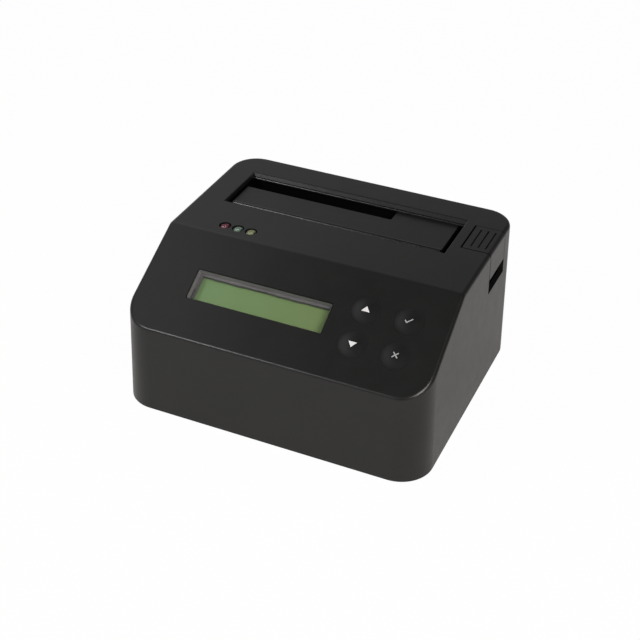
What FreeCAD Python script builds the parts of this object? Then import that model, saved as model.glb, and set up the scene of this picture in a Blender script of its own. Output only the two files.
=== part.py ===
"""Desktop hard drive eraser dock: a drafted housing with a sloping control panel, a drive well under a sprung
flap, and an eject button that lifts the drive off its connector.

Millimetres. The origin is on the table under the middle of the housing: +X right, +Y to the rear, +Z up.
"""
import FreeCAD, Part
import math
import os
from FreeCAD import Placement, Rotation, Vector

# Drives that the dock takes
DRIVE_WIDTH = 101.6
DRIVE_THICKNESS = 26.1
SMALL_DRIVE_WIDTH = 69.85
SMALL_DRIVE_THICKNESS = 9.5

# Housing
BODY_HEIGHT = 66.2
PANEL_RISE = 25.4
PANEL_TILT = 29.7
DRAFT = 1.83
CORNER_RADIUS = 14.5
EDGE_RADIUS = 1.8
CREASE_RADIUS = 3.0
WALL = 2.2
LEFT_MARGIN = 13.0
RIGHT_MARGIN = 18.2
REAR_MARGIN = 16.0
DECK_FRONT = 26.8
RIM_RADIUS = 0.4
REAR_RIM_RADIUS = 0.7
REAR_LEAD_IN = 0.8

# Drive opening and well
DRIVE_SIDE_PLAY = 1.2
DRIVE_FACE_PLAY = 3.3
WELL_STEP = 0.6
WELL_WALL = 2.0
WELL_ROOM_BELOW = 14.2
LUG_DROP = 8.0
LUG_SIZE = 7.0
LUG_SPACING = 72.0

# Dust flap
FLAP_THICKNESS = 2.0
FLAP_RIM_GAP = 0.3
FLAP_LEFT_GAP = 1.3
FLAP_RIGHT_GAP = 3.2
FLAP_REAR_GAP = 0.6
FLAP_CORNER = 0.8
SMALL_DRIVE_PLAY = 2.15
HINGE_SETBACK = 1.7
BARREL_RADIUS = 2.1
HINGE_PIN_RADIUS = 1.0
FLAP_SPRING_OFFSET = 14.0
FLAP_SPRING_ROOM = 6.0
FLAP_SPRING_WIRE = 0.3
FLAP_SPRING_TURNS = 4
FLAP_LEG_LENGTH = 7.0

# Eject button, spring and rocker
EJECT_WIDTH = 13.0
EJECT_LENGTH = 20.0
EJECT_SHIFT = 3.1
EJECT_LEFT_GAP = 0.8
EJECT_FRONT_GAP = 0.6
EJECT_SKIRT = 13.1
EJECT_TRAVEL = 6.4
EJECT_RIB = 1.8
EJECT_RIB_DEPTH = 6.0
GROOVE_PITCH = 3.25
GROOVE_FIRST = 3.0
GROOVE_WIDTH = 0.7
GROOVE_LENGTH = 15.2
GROOVE_DEPTH = 0.7
GROOVE_COUNT = 3
STEM_INSET = 6.6
STEM_WIDTH = 5.0
STEM_BREADTH = 5.2
STEM_REAR_OFFSET = 6.0
BRACKET_DROP = 24.4
BRACKET_THICKNESS = 3.0
EJECT_COIL_RADIUS = 3.2
EJECT_SPRING_WIRE = 0.35
EJECT_SPRING_TURNS = 6
SPRING_FORWARD_OFFSET = 3.8
SPRING_POST_RADIUS = 2.3
SPRING_POST_HEIGHT = 6.0
ROCKER_OUTER_ARM = 23.0
ROCKER_INNER_ARM = 30.0
ROCKER_BREADTH = 5.6
ROCKER_HALF_BAR = 2.0
ROCKER_HUB_RADIUS = 4.0
ROCKER_NOSE_RADIUS = 2.5
ROCKER_NOSE_RISE = 2.5
ROCKER_PAD_WIDTH = 7.0
ROCKER_PIVOT_DROP = 9.0
ROCKER_PIN_RADIUS = 1.5
EAR_THICKNESS = 2.0
EAR_RADIUS = 3.5

# Bottom cover and feet
COVER_THICKNESS = 2.4
FOOT_RADIUS = 6.0
FOOT_PROUD = 1.2
FOOT_TAPER = 0.4
FOOT_RECESS = 1.0
FOOT_INSET_X = 19.7
FOOT_INSET_Y = 16.0
BOSS_RADIUS = 3.5
BOSS_INSET = 10.3
VENT_COUNT = 7
VENT_PITCH = 5.0
VENT_WIDTH = 2.4
VENT_LENGTH = 34.0

# Boards and fasteners
BOARD = 1.6
STANDOFF_HEIGHT = 3.6
STANDOFF_RADIUS = 3.0
MAIN_LEFT = -50.0
MAIN_FRONT = -30.0
MAIN_HOLE_INSET = 4.0
POST_RADIUS = 2.5
SCREW_SHANK = 1.2
SCREW_HEAD = 2.3
SCREW_HEAD_HEIGHT = 1.4
SCREW_GRIP = 4.0
PACKAGES = [(-22.0, 12.0, 14.0, 1.4), (6.0, 14.0, 10.0, 1.2), (-2.0, -6.0, 6.0, 1.7), (24.0, 8.0, 7.0, 3.5)]
CAPACITORS = [(-42.0, 10.0), (-42.0, 20.0)]
CAPACITOR_RADIUS = 4.0
CAPACITOR_HEIGHT = 9.0

# Display on the sloping panel, placed from the middle of the panel's length
WINDOW_RIGHT = 17.3
WINDOW_WIDTH = 62.1
WINDOW_HEIGHT = 14.4
WINDOW_CORNER = 0.6
LENS_SINK = 0.2
LENS_FLANGE = 2.0
LENS_FLANGE_THICKNESS = 1.0
BEZEL_GAP = 1.8
BEZEL_SHEET = 0.6
BEZEL_END_MARGIN = 4.45
BEZEL_SIDE_MARGIN = 4.8
BEZEL_END_RIM = 3.0
BEZEL_SIDE_RIM = 3.2
GASKET_INSET = 1.3
GLASS_THICKNESS = 2.4
BACKLIGHT_THICKNESS = 3.6
BOARD_END_MARGIN = 4.5
BOARD_SIDE_MARGIN = 6.0
DISPLAY_HOLE_INSET = 2.5

# Keys on the sloping panel
KEY_CENTRE = 40.65
KEY_SPACING_X = 18.5
KEY_SPACING_V = 15.9
KEY_RADIUS = 6.0
KEY_FLANGE = 1.0
KEY_FLANGE_THICKNESS = 0.9
KEY_EDGE_RISE = 0.3
KEY_DOME_RISE = 0.9
KEY_CROWN_SHARE = 0.6
KEY_TRAVEL = 0.6
PLUNGER_RADIUS = 1.7
PLUNGER_LENGTH = 1.9
SWITCH_SIDE = 6.0
SWITCH_HEIGHT = 3.4
SWITCH_GAP = 1.2
KEY_BOARD_WIDTH = 27.4
KEY_BOARD_HEIGHT = 35.5
KEY_POST_SPACING = 14.75

# Status lamps on the deck
LAMP_FIRST = -44.3
LAMP_PITCH = 6.25
LAMP_BEHIND_CREASE = 7.4
LAMP_RADIUS = 2.4
LAMP_FLANGE_RADIUS = 2.8
LAMP_FLANGE = 1.0
LAMP_HEIGHT = 8.6
LAMP_SINK = 0.1
LAMP_BOARD_DEPTH = 9.2
LAMP_POST_REACH = 12.2

# Drive connector
CONNECTOR_LENGTH = 43.0
CONNECTOR_BREADTH = 6.6
CONNECTOR_HEIGHT = 10.5
CONNECTOR_LEFT_INSET = 12.2
CONNECTOR_REAR_INSET = 5.1
BLADE_SLOT = 2.2
BLADE_DEPTH = 6.0
BLADE_FOOT = 1.2
SIGNAL_START = 4.0
SIGNAL_LENGTH = 11.0
POWER_START = 17.5
POWER_LENGTH = 21.5
CONTACT_PITCH = 1.27
CONTACT_WIDTH = 0.8
CONTACT_THICKNESS = 0.35
SIGNAL_CONTACTS = 7
POWER_CONTACTS = 15
CARRIER_REACH = 9.3
CARRIER_MARGIN = 7.5
CARRIER_SCREW_OUT = 4.0
CARRIER_SCREW_AHEAD = 6.7
LINK_LENGTH = 24.0
LINK_BREADTH = 5.0

# Rear ports
PORT_RECESS = 2.6
PORT_PANEL_WIDTH = 84.0
PORT_PANEL_HEIGHT = 20.0
SWITCH_X = -30.0
DATA_X = 14.0
INLET_X = 30.0
DATA_WIDTH = 12.2
DATA_HEIGHT = 12.6
DATA_DEPTH = 17.6
DATA_BACK = 1.0
DATA_MOUTH_WIDTH = 8.5
DATA_LIP = 1.2
DATA_SHOULDER = 5.6
DATA_MOUTH_HEIGHT = 7.2
DATA_CORNER_CUT = 1.4
DATA_UPPER_HEIGHT = 2.9
TONGUE_WIDTH = 5.6
TONGUE_HEIGHT = 3.2
TONGUE_RISE = 2.0
TONGUE_SINK = 2.2
UPPER_TONGUE_WIDTH = 4.4
UPPER_TONGUE_HEIGHT = 0.9
INLET_WIDTH = 9.0
INLET_HEIGHT = 11.0
INLET_DEPTH = 13.7
INLET_NOSE_RADIUS = 4.2
INLET_BORE_RADIUS = 3.2
INLET_BORE_DEPTH = 10.0
INLET_PIN_RADIUS = 1.05
INLET_PIN_SINK = 1.0
INLET_AXIS_HEIGHT = 6.5
POWER_WIDTH = 13.0
POWER_HEIGHT = 9.4
POWER_DEPTH = 11.5
POWER_CAVITY = 10.6
POWER_CAVITY_HEIGHT = 6.8
POWER_CAVITY_DEPTH = 6.2
POWER_PIVOT_DEPTH = 2.4
POWER_TILT = 8.0
POWER_STUB_RADIUS = 0.9
POWER_SOCKET_DEPTH = 0.8
POWER_DISH = 0.3
POWER_RIM = 1.4
POWER_UNDERCUT = 0.4

# Ribbon leads
RIBBON_THICKNESS = 0.8
RIBBON_BEND = 6.0
DISPLAY_RIBBON = (-32.0, -12.0)
KEY_RIBBON = (28.0, 36.0)

# Clearances
SLIDE_GAP = 0.3
SEAM_GAP = 0.3
PIN_GAP = 0.08
SCREW_GAP = 0.06
LOOSE_FIT = 0.4
COVER_FIT = 0.35

# Levels and places that follow from the sizes above
LEAN = math.tan(math.radians(DRAFT))
TILT = math.radians(PANEL_TILT)
FRONT_HEIGHT = BODY_HEIGHT - PANEL_RISE
PANEL_RUN = PANEL_RISE / math.tan(TILT)
PANEL_MIDDLE = PANEL_RISE / math.sin(TILT) / 2
SLOT_WIDTH = DRIVE_WIDTH + 2 * DRIVE_SIDE_PLAY
SLOT_DEPTH = DRIVE_THICKNESS + DRIVE_FACE_PLAY
TOP_WIDTH = LEFT_MARGIN + SLOT_WIDTH + RIGHT_MARGIN
BODY_WIDTH = TOP_WIDTH + 2 * LEAN * BODY_HEIGHT
BODY_DEPTH = PANEL_RUN + DECK_FRONT + SLOT_DEPTH + REAR_MARGIN + LEAN * (FRONT_HEIGHT + BODY_HEIGHT)
Z_BASE = FOOT_PROUD
Z_TOP = Z_BASE + BODY_HEIGHT
Z_DECK = Z_TOP - WALL
Z_COVER = Z_BASE + COVER_THICKNESS
Z_BOARD = Z_COVER + STANDOFF_HEIGHT + BOARD
Z_FLOOR = Z_BOARD + WELL_ROOM_BELOW
X_SIDE = TOP_WIDTH / 2
Y_EDGE = LEAN * FRONT_HEIGHT - BODY_DEPTH / 2
Z_EDGE = Z_BASE + FRONT_HEIGHT
Y_CREASE = Y_EDGE + PANEL_RUN
SLOT_X0 = LEFT_MARGIN - X_SIDE
SLOT_X1 = SLOT_X0 + SLOT_WIDTH
SLOT_Y0 = Y_CREASE + DECK_FRONT
SLOT_Y1 = SLOT_Y0 + SLOT_DEPTH

FLAP_TOP = Z_DECK - FLAP_RIM_GAP
Y_HINGE = SLOT_Y0 - HINGE_SETBACK
Z_HINGE = FLAP_TOP - BARREL_RADIUS
FLAP_X0 = SLOT_X0 + FLAP_LEFT_GAP
FLAP_X1 = SLOT_X1 - FLAP_RIGHT_GAP
FLAP_Y1 = SLOT_Y1 - FLAP_REAR_GAP
FLAP_SPRING_X = FLAP_X0 + FLAP_SPRING_OFFSET
WELL_X0 = SLOT_X0 - WELL_STEP
WELL_X1 = SLOT_X1 + WELL_STEP
WELL_Y0 = Y_HINGE - BARREL_RADIUS - LOOSE_FIT
WELL_Y1 = SLOT_Y1 + WELL_STEP
NOTCH_X = SLOT_X0 + SMALL_DRIVE_WIDTH + SMALL_DRIVE_PLAY
NOTCH_Y = WELL_Y1 - SMALL_DRIVE_THICKNESS
Z_WELL = Z_FLOOR + WELL_WALL

EJECT_X = X_SIDE - EJECT_WIDTH
EJECT_Y = (SLOT_Y0 + SLOT_Y1) / 2 + EJECT_SHIFT
EJECT_Y0 = EJECT_Y - EJECT_LENGTH / 2
EJECT_Y1 = EJECT_Y + EJECT_LENGTH / 2
Z_SKIRT = Z_TOP - EJECT_SKIRT
STEM_X = X_SIDE - STEM_INSET
STEM_Y = EJECT_Y + STEM_REAR_OFFSET
SPRING_Y = EJECT_Y - SPRING_FORWARD_OFFSET
Z_BRACKET = Z_TOP - BRACKET_DROP
PIVOT_X = STEM_X - ROCKER_OUTER_ARM
Z_PIVOT = Z_FLOOR - ROCKER_PIVOT_DROP
PAD_X = PIVOT_X - ROCKER_INNER_ARM
Z_NOSE = Z_PIVOT + ROCKER_NOSE_RISE
Z_STEM = Z_NOSE + ROCKER_NOSE_RADIUS + SLIDE_GAP

Y_PORT = BODY_DEPTH / 2 - PORT_RECESS
Y_PORT_INSIDE = Y_PORT - WALL
Z_PORT = Z_BOARD + PORT_PANEL_HEIGHT / 2 - BOARD
MAIN_RIGHT = PIVOT_X + ROCKER_OUTER_ARM / 2
MAIN_REAR = Y_PORT_INSIDE - SEAM_GAP
Z_INLET = Z_BOARD + INLET_AXIS_HEIGHT
Z_POWER = Z_BOARD + POWER_HEIGHT / 2
Y_POWER_PIVOT = Y_PORT - POWER_PIVOT_DEPTH

CONNECTOR_X = SLOT_X0 + CONNECTOR_LEFT_INSET
CONNECTOR_Y = WELL_Y1 - CONNECTOR_REAR_INSET
Z_CARRIER = Z_FLOOR - WELL_WALL
CONNECTOR_END = CONNECTOR_X + CONNECTOR_LENGTH
CARRIER_FRONT = CONNECTOR_Y - CARRIER_REACH
CARRIER_SCREWS = [
    (CONNECTOR_X - CARRIER_SCREW_OUT, CONNECTOR_Y),
    (CONNECTOR_END - CARRIER_SCREW_OUT, CONNECTOR_Y - CARRIER_SCREW_AHEAD),
]

WINDOW_CENTRE = WINDOW_RIGHT - WINDOW_WIDTH / 2
BEZEL_WIDTH = WINDOW_WIDTH + 2 * BEZEL_END_MARGIN
BEZEL_HEIGHT = WINDOW_HEIGHT + 2 * BEZEL_SIDE_MARGIN
DISPLAY_BOARD_WIDTH = BEZEL_WIDTH + 2 * BOARD_END_MARGIN
DISPLAY_BOARD_HEIGHT = BEZEL_HEIGHT + 2 * BOARD_SIDE_MARGIN
W_LENS = -WALL
W_BEZEL = W_LENS - LENS_FLANGE_THICKNESS - BEZEL_GAP
W_GLASS = W_BEZEL - BEZEL_SHEET
W_BACKLIGHT = W_GLASS - GLASS_THICKNESS
W_DISPLAY = W_BACKLIGHT - BACKLIGHT_THICKNESS
W_KEY = -WALL - SLIDE_GAP - KEY_FLANGE_THICKNESS
W_SWITCH = W_KEY - SWITCH_GAP
W_KEY_BOARD = W_SWITCH - SWITCH_HEIGHT
LAMP_Y = Y_CREASE + LAMP_BEHIND_CREASE
LAMP_MIDDLE = LAMP_FIRST + LAMP_PITCH
Z_LAMP_BOARD = Z_TOP - LAMP_SINK - LAMP_HEIGHT

# Number of flats on turned pieces and of steps in a coil
STUD_SIDES = 8
LAMP_SIDES = 16
ROUND_SIDES = 24
WIRE_SIDES = 4
COIL_STEPS = 10
RIM_STEPS = 4
HIDDEN_CHORDS = 3


# General shapes
def box(x, y, z):
    """A block from three (low, high) pairs."""
    return Part.makeBox(x[1] - x[0], y[1] - y[0], z[1] - z[0], Vector(x[0], y[0], z[0]))


def span(middle, size):
    return (middle - size / 2, middle + size / 2)


def union(shapes):
    return shapes[0].fuse(shapes[1:]).removeSplitter()


def rod(radius, start, end):
    """A round bar from one point to another."""
    start = Vector(*start)
    along = Vector(*end) - start
    return Part.makeCylinder(radius, along.Length, start, along)


def flat(points):
    return Part.Face(Part.makePolygon(points + points[:1]))


def skinned(rings, twisted):
    """A solid with flat faces through rings of points; each twisted cell is folded along its diagonal."""
    faces = [flat(rings[0]), flat(rings[-1])]
    for low, high in zip(rings, rings[1:]):
        for index in range(len(low)):
            cell = [low[index - 1], low[index], high[index], high[index - 1]]
            if twisted:
                faces.append(flat(cell[:3]))
                faces.append(flat([cell[0], cell[2], cell[3]]))
            else:
                faces.append(flat(cell))
    shell = Part.makeShell(faces)
    shell.sewShape()
    solid = Part.makeSolid(shell)
    if solid.Volume < 0:
        solid.reverse()
    return solid if twisted else solid.removeSplitter()


def turned(x, y, profile, sides=STUD_SIDES):
    """An upright many-sided turning from a list of (radius, height) pairs."""
    rings = []
    for radius, z in profile:
        ring = []
        for corner in range(sides):
            turn = 2 * math.pi * (corner + 0.5) / sides
            ring.append(Vector(x + radius * math.cos(turn), y + radius * math.sin(turn), z))
        rings.append(ring)
    return skinned(rings, False)


def stud(radius, x, y, z, sides=STUD_SIDES):
    """An upright bar with flats, for hidden bosses, screw holes and screws."""
    return turned(x, y, [(radius, z[0]), (radius, z[1])], sides)


def rounded_outline(x, y, radius, z, chords=0):
    """A closed wire: a rectangle at one height with arcs at its corners, or chords where they are hidden."""
    places = [(x[1], y[0], 1, -1), (x[1], y[1], 1, 1), (x[0], y[1], -1, 1), (x[0], y[0], -1, -1)]
    corners = []
    for index, (corner_x, corner_y, sx, sy) in enumerate(places):
        centre = Vector(corner_x - sx * radius, corner_y - sy * radius, z)
        points = []
        for step in range((chords or 2) + 1):
            turn = math.radians(90 * (index - 1 + step / (chords or 2)))
            points.append(centre + Vector(radius * math.cos(turn), radius * math.sin(turn), 0))
        corners.append(points)
    if chords:
        ring = [point for points in corners for point in points]
        return Part.makePolygon(ring + ring[:1])
    edges = []
    for points, following in zip(corners, corners[1:] + corners[:1]):
        edges.append(Part.Arc(*points).toShape())
        edges.append(Part.LineSegment(points[-1], following[0]).toShape())
    return Part.Wire(edges)


def rounded_plate(x, y, radius, z):
    """A plate with round corners in plan."""
    face = Part.Face(rounded_outline(x, y, radius, z[0]))
    return face.extrude(Vector(0, 0, z[1] - z[0]))


def drafted_block(inset, z, chords=0):
    """The housing's drafted outline between two heights, moved inwards by an inset."""
    wires = []
    for level in z:
        lean = LEAN * (level - Z_BASE) + inset
        x = span(0, BODY_WIDTH - 2 * lean)
        y = span(0, BODY_DEPTH - 2 * lean)
        wires.append(rounded_outline(x, y, CORNER_RADIUS - lean, level, chords))
    return Part.makeLoft(wires, True, True)


def plate_from(points, plane, depth):
    """A flat outline, given as points in the XZ or YZ plane, thickened along the plane's normal."""
    start, end = depth
    if plane == "xz":
        corners = [Vector(a, start, b) for a, b in points]
        push = Vector(0, end - start, 0)
    else:
        corners = [Vector(start, a, b) for a, b in points]
        push = Vector(end - start, 0, 0)
    return flat(corners).extrude(push)


def on_panel(shape):
    """Moves a shape drawn flat (X, up the slope, outwards) onto the sloping panel."""
    placed = shape.copy()
    panel = Placement(Vector(0, Y_EDGE, Z_EDGE), Rotation(Vector(1, 0, 0), PANEL_TILT))
    placed.Placement = panel.multiply(placed.Placement)
    return placed


def panel_point(x, v, w):
    """A point of the panel's own frame as a place in the dock."""
    y = Y_EDGE + v * math.cos(TILT) - w * math.sin(TILT)
    z = Z_EDGE + v * math.sin(TILT) + w * math.cos(TILT)
    return (x, y, z)


def screw(x, y, seat, grip):
    """A screw whose head bears on the seat; its shank runs up, or down where the grip is negative."""
    head = seat - math.copysign(SCREW_HEAD_HEIGHT, grip)
    profile = [(SCREW_HEAD, head), (SCREW_HEAD, seat), (SCREW_SHANK, seat), (SCREW_SHANK, seat + grip)]
    return turned(x, y, profile)


def screws(places, seat, grip):
    return Part.makeCompound([screw(x, y, seat, grip) for x, y in places])


def board(x, y, top, holes):
    """A circuit board under a level, with a clearance hole for each screw."""
    plate = box(x, y, (top - BOARD, top))
    return plate.cut([stud(SCREW_SHANK + SEAM_GAP, a, b, (top - 2 * BOARD, top + BOARD)) for a, b in holes])


def coil(points, axis, radius):
    """Spring wire through a list of points, its section kept square to the coil's axis."""
    axis = Vector(*axis)
    sections = []
    for index, point in enumerate(points):
        before = points[max(index - 1, 0)]
        after = points[min(index + 1, len(points) - 1)]
        along = (after - before).normalize()
        side = (axis - along * axis.dot(along)).normalize()
        other = along.cross(side)
        ring = []
        for corner in range(WIRE_SIDES):
            turn = 2 * math.pi * corner / WIRE_SIDES
            ring.append(point + side * (radius * math.cos(turn)) + other * (radius * math.sin(turn)))
        sections.append(ring)
    return skinned(sections, True)


# Housing
def side_profile(inset):
    """The housing seen from the side, with a rounded crease, as a block across the whole width."""
    reach = BODY_WIDTH
    drop = inset / math.cos(TILT)
    z_top = Z_TOP - inset
    crease = Y_CREASE + inset * math.tan(TILT / 2)
    cut = CREASE_RADIUS * math.tan(TILT / 2)
    low = Y_CREASE - reach
    z_low = Z_TOP - reach * math.tan(TILT) - drop
    start = Vector(-reach, crease - cut * math.cos(TILT), z_top - cut * math.sin(TILT))
    end = Vector(-reach, crease + cut, z_top)
    centre = Vector(-reach, crease + cut, z_top - CREASE_RADIUS)
    middle = centre + Vector(0, -math.sin(TILT / 2), math.cos(TILT / 2)) * CREASE_RADIUS
    lower = Vector(-reach, low, z_low)
    foot = Vector(-reach, low, Z_BASE - reach)
    back_foot = Vector(-reach, reach, Z_BASE - reach)
    back = Vector(-reach, reach, z_top)
    edges = [Part.LineSegment(lower, start).toShape(), Part.Arc(start, middle, end).toShape()]
    for first, second in ((end, back), (back, back_foot), (back_foot, foot), (foot, lower)):
        edges.append(Part.LineSegment(first, second).toShape())
    return Part.Face(Part.Wire(edges)).extrude(Vector(2 * reach, 0, 0))


def outer_form():
    """The solid outside of the housing, rounded where the sides meet the deck and the panel."""
    block = drafted_block(0, (Z_BASE, Z_TOP + EDGE_RADIUS)).common(side_profile(0))
    rim = []
    for edge in block.Edges:
        faces = block.ancestorsOfType(edge, Part.Face)
        slopes = sorted(face.normalAt(*face.Surface.parameter(face.CenterOfMass)).z for face in faces)
        if len(slopes) == 2 and slopes[1] > 0.5 and abs(slopes[0]) < 0.2:
            rim.append(edge)
    return block.makeFillet(EDGE_RADIUS, rim)


def inner_form():
    """The housing's hollow, open at the bottom."""
    return drafted_block(WALL, (Z_BASE - WALL, Z_TOP), HIDDEN_CHORDS).common(side_profile(WALL))


def cover_screw_places():
    half_x = BODY_WIDTH / 2 - BOSS_INSET
    half_y = BODY_DEPTH / 2 - BOSS_INSET
    return [(sx * half_x, sy * half_y) for sx in (-1, 1) for sy in (-1, 1)]


def lug_places():
    middle = (SLOT_X0 + SLOT_X1) / 2
    front = WELL_Y0 - WELL_WALL - LUG_SIZE / 2
    rear = WELL_Y1 + WELL_WALL + LUG_SIZE / 2
    return [(middle + side * LUG_SPACING / 2, y) for side in (-1, 1) for y in (front, rear)]


def display_screw_places():
    half_x = DISPLAY_BOARD_WIDTH / 2 - DISPLAY_HOLE_INSET
    half_v = DISPLAY_BOARD_HEIGHT / 2 - DISPLAY_HOLE_INSET
    return [(WINDOW_CENTRE + sx * half_x, PANEL_MIDDLE + sv * half_v) for sx in (-1, 1) for sv in (-1, 1)]


def key_screw_places():
    return [(KEY_CENTRE, PANEL_MIDDLE + row * KEY_POST_SPACING) for row in (-1, 0, 1)]


def key_places():
    """Middle of each key on the panel, by name."""
    rows = {"left": (-1, 1), "right": (-1, -1), "confirm": (1, 1), "cancel": (1, -1)}
    places = {}
    for name, (sx, sv) in rows.items():
        places[name] = (KEY_CENTRE + sx * KEY_SPACING_X / 2, PANEL_MIDDLE + sv * KEY_SPACING_V / 2)
    return places


def lamp_places():
    return [LAMP_FIRST + index * LAMP_PITCH for index in range(3)]


def lamp_screw_places():
    return [(LAMP_MIDDLE + side * LAMP_POST_REACH, LAMP_Y) for side in (-1, 1)]


def housing_posts(outer):
    """Screw bosses inside the housing, cut to its outer form."""
    posts = []
    pilots = []
    pilot = SCREW_SHANK + SCREW_GAP
    for x, y in cover_screw_places():
        posts.append(stud(BOSS_RADIUS, x, y, (Z_COVER, Z_TOP)))
        pilots.append(stud(pilot, x, y, (Z_BASE, Z_COVER + 3 * SCREW_GRIP)))
    for places, z in ((lug_places(), Z_DECK - LUG_DROP), (lamp_screw_places(), Z_LAMP_BOARD)):
        for x, y in places:
            posts.append(stud(POST_RADIUS, x, y, (z, Z_DECK + WALL / 2)))
            pilots.append(stud(pilot, x, y, (z, z + SCREW_GRIP)))
    for places, w in ((display_screw_places(), W_DISPLAY), (key_screw_places(), W_KEY_BOARD)):
        for x, v in places:
            posts.append(on_panel(stud(POST_RADIUS, x, v, (w, -WALL / 2))))
            pilots.append(on_panel(stud(pilot, x, v, (w, w + SCREW_GRIP))))
    inside = [post.common(outer) for post in posts]
    return inside, pilots


def rim_growth(radius, z):
    """How far a rounded rim of the deck stands back from the opening's wall at a level."""
    above = max(z - (Z_TOP - radius), 0)
    return radius - math.sqrt(max(radius ** 2 - above ** 2, 0))


def deck_opening():
    """The drive opening: rounded rims, and a rear wall that slants back to lead a drive in."""
    levels = [Z_DECK - WALL, Z_DECK]
    for step in range(RIM_STEPS + 1):
        levels.append(Z_TOP - REAR_RIM_RADIUS * (1 - math.sin(math.pi / 2 * step / RIM_STEPS)))
    rings = []
    for z in levels:
        edge = rim_growth(RIM_RADIUS, z)
        rise = max(z - Z_DECK, 0) / (Z_TOP - Z_DECK)
        rear = SLOT_Y1 + REAR_LEAD_IN * rise + rim_growth(REAR_RIM_RADIUS, z)
        rings.append([
            Vector(SLOT_X0 - edge, SLOT_Y0 - edge, z),
            Vector(SLOT_X1 + edge, SLOT_Y0 - edge, z),
            Vector(SLOT_X1 + edge, rear, z),
            Vector(SLOT_X0 - edge, rear, z),
        ])
    rings.append([point + Vector(0, 0, WALL) for point in rings[-1]])
    return skinned(rings, False)


def panel_openings():
    """Display window and key holes through the sloping panel."""
    window_x = span(WINDOW_CENTRE, WINDOW_WIDTH)
    window_v = span(PANEL_MIDDLE, WINDOW_HEIGHT)
    holes = [on_panel(rounded_plate(window_x, window_v, WINDOW_CORNER, (-WALL - SEAM_GAP, WALL)))]
    for x, v in key_places().values():
        holes.append(on_panel(rod(KEY_RADIUS + SLIDE_GAP, (x, v, -WALL - SEAM_GAP), (x, v, WALL))))
    return holes


def port_openings():
    """Holes in the recessed rear panel for the inlet, the data port and the switch."""
    through = (Y_PORT_INSIDE - WALL, Y_PORT + WALL)
    grow = 2 * SEAM_GAP
    data_z = (Z_BOARD - SEAM_GAP, Z_BOARD + DATA_HEIGHT + SEAM_GAP)
    return [
        box(span(DATA_X, DATA_WIDTH + grow), through, data_z),
        box(span(SWITCH_X, POWER_WIDTH + grow), through, span(Z_POWER, POWER_HEIGHT + grow)),
        rod(INLET_NOSE_RADIUS + SEAM_GAP, (INLET_X, through[0], Z_INLET), (INLET_X, through[1], Z_INLET)),
    ]


def upper_housing(outer, inner):
    posts, pilots = housing_posts(outer)
    panel_x = span(0, PORT_PANEL_WIDTH)
    panel_z = span(Z_PORT, PORT_PANEL_HEIGHT)
    frame_x = span(0, PORT_PANEL_WIDTH + 2 * WALL)
    frame_z = (Z_COVER + COVER_FIT, panel_z[1] + WALL)
    frame = box(frame_x, (Y_PORT_INSIDE, BODY_DEPTH / 2), frame_z).common(outer)
    pocket = box(panel_x, (Y_PORT, BODY_DEPTH), panel_z)
    notch_y = (EJECT_Y0 - EJECT_FRONT_GAP, EJECT_Y1 + SLIDE_GAP)
    notch_z = (Z_SKIRT - EJECT_TRAVEL - LOOSE_FIT, Z_TOP + WALL)
    notch = box((EJECT_X - EJECT_LEFT_GAP, BODY_WIDTH), notch_y, notch_z)
    lamps = []
    for x in lamp_places():
        lamps.append(rod(LAMP_RADIUS + SLIDE_GAP, (x, LAMP_Y, Z_DECK - WALL), (x, LAMP_Y, Z_TOP + WALL)))
    body = union([outer.cut(inner), frame] + posts)
    cuts = pilots + panel_openings() + port_openings() + lamps + [deck_opening(), pocket, notch]
    return body.cut(cuts).removeSplitter()


# Bottom cover, feet and their screws
def foot_places():
    half_x = BODY_WIDTH / 2 - FOOT_INSET_X
    half_y = BODY_DEPTH / 2 - FOOT_INSET_Y
    return [(sx * half_x, sy * half_y) for sx in (-1, 1) for sy in (-1, 1)]


def main_screw_places():
    low_x = MAIN_LEFT + MAIN_HOLE_INSET
    high_x = MAIN_RIGHT - MAIN_HOLE_INSET
    low_y = MAIN_FRONT + MAIN_HOLE_INSET
    high_y = MAIN_REAR - MAIN_HOLE_INSET
    return [(x, y) for x in (low_x, high_x) for y in (low_y, high_y)]


def bottom_cover():
    plate = drafted_block(WALL + COVER_FIT, (Z_BASE, Z_COVER), HIDDEN_CHORDS)
    standoffs = [stud(STANDOFF_RADIUS, x, y, (Z_BASE, Z_BOARD - BOARD)) for x, y in main_screw_places()]
    body = union([plate] + standoffs)
    cuts = []
    for x, y in main_screw_places():
        cuts.append(stud(SCREW_SHANK + SCREW_GAP, x, y, (Z_BOARD - SCREW_GRIP - BOARD, Z_BOARD)))
    for x, y in foot_places():
        cuts.append(stud(FOOT_RADIUS + SEAM_GAP, x, y, (0, Z_BASE + FOOT_RECESS), ROUND_SIDES))
    for x, y in cover_screw_places():
        cuts.append(stud(SCREW_SHANK + SEAM_GAP, x, y, (0, Z_COVER + WALL)))
        cuts.append(stud(SCREW_HEAD + SEAM_GAP, x, y, (0, Z_BASE + SCREW_HEAD_HEIGHT)))
    for index in range(VENT_COUNT):
        y = (index - (VENT_COUNT - 1) / 2) * VENT_PITCH
        cuts.append(box(span(0, VENT_LENGTH), span(y, VENT_WIDTH), (0, Z_COVER + WALL)))
    return body.cut(cuts).removeSplitter()


def rubber_feet():
    """Four stuck-on feet, a little narrower where they meet the table."""
    top = FOOT_PROUD + FOOT_RECESS
    profile = [(FOOT_RADIUS - FOOT_TAPER, 0), (FOOT_RADIUS, FOOT_PROUD), (FOOT_RADIUS, top)]
    return Part.makeCompound([turned(x, y, profile, ROUND_SIDES) for x, y in foot_places()])


def cover_screws():
    seat = Z_BASE + SCREW_HEAD_HEIGHT
    return screws(cover_screw_places(), seat, Z_COVER - seat + 2 * SCREW_GRIP)


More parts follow.
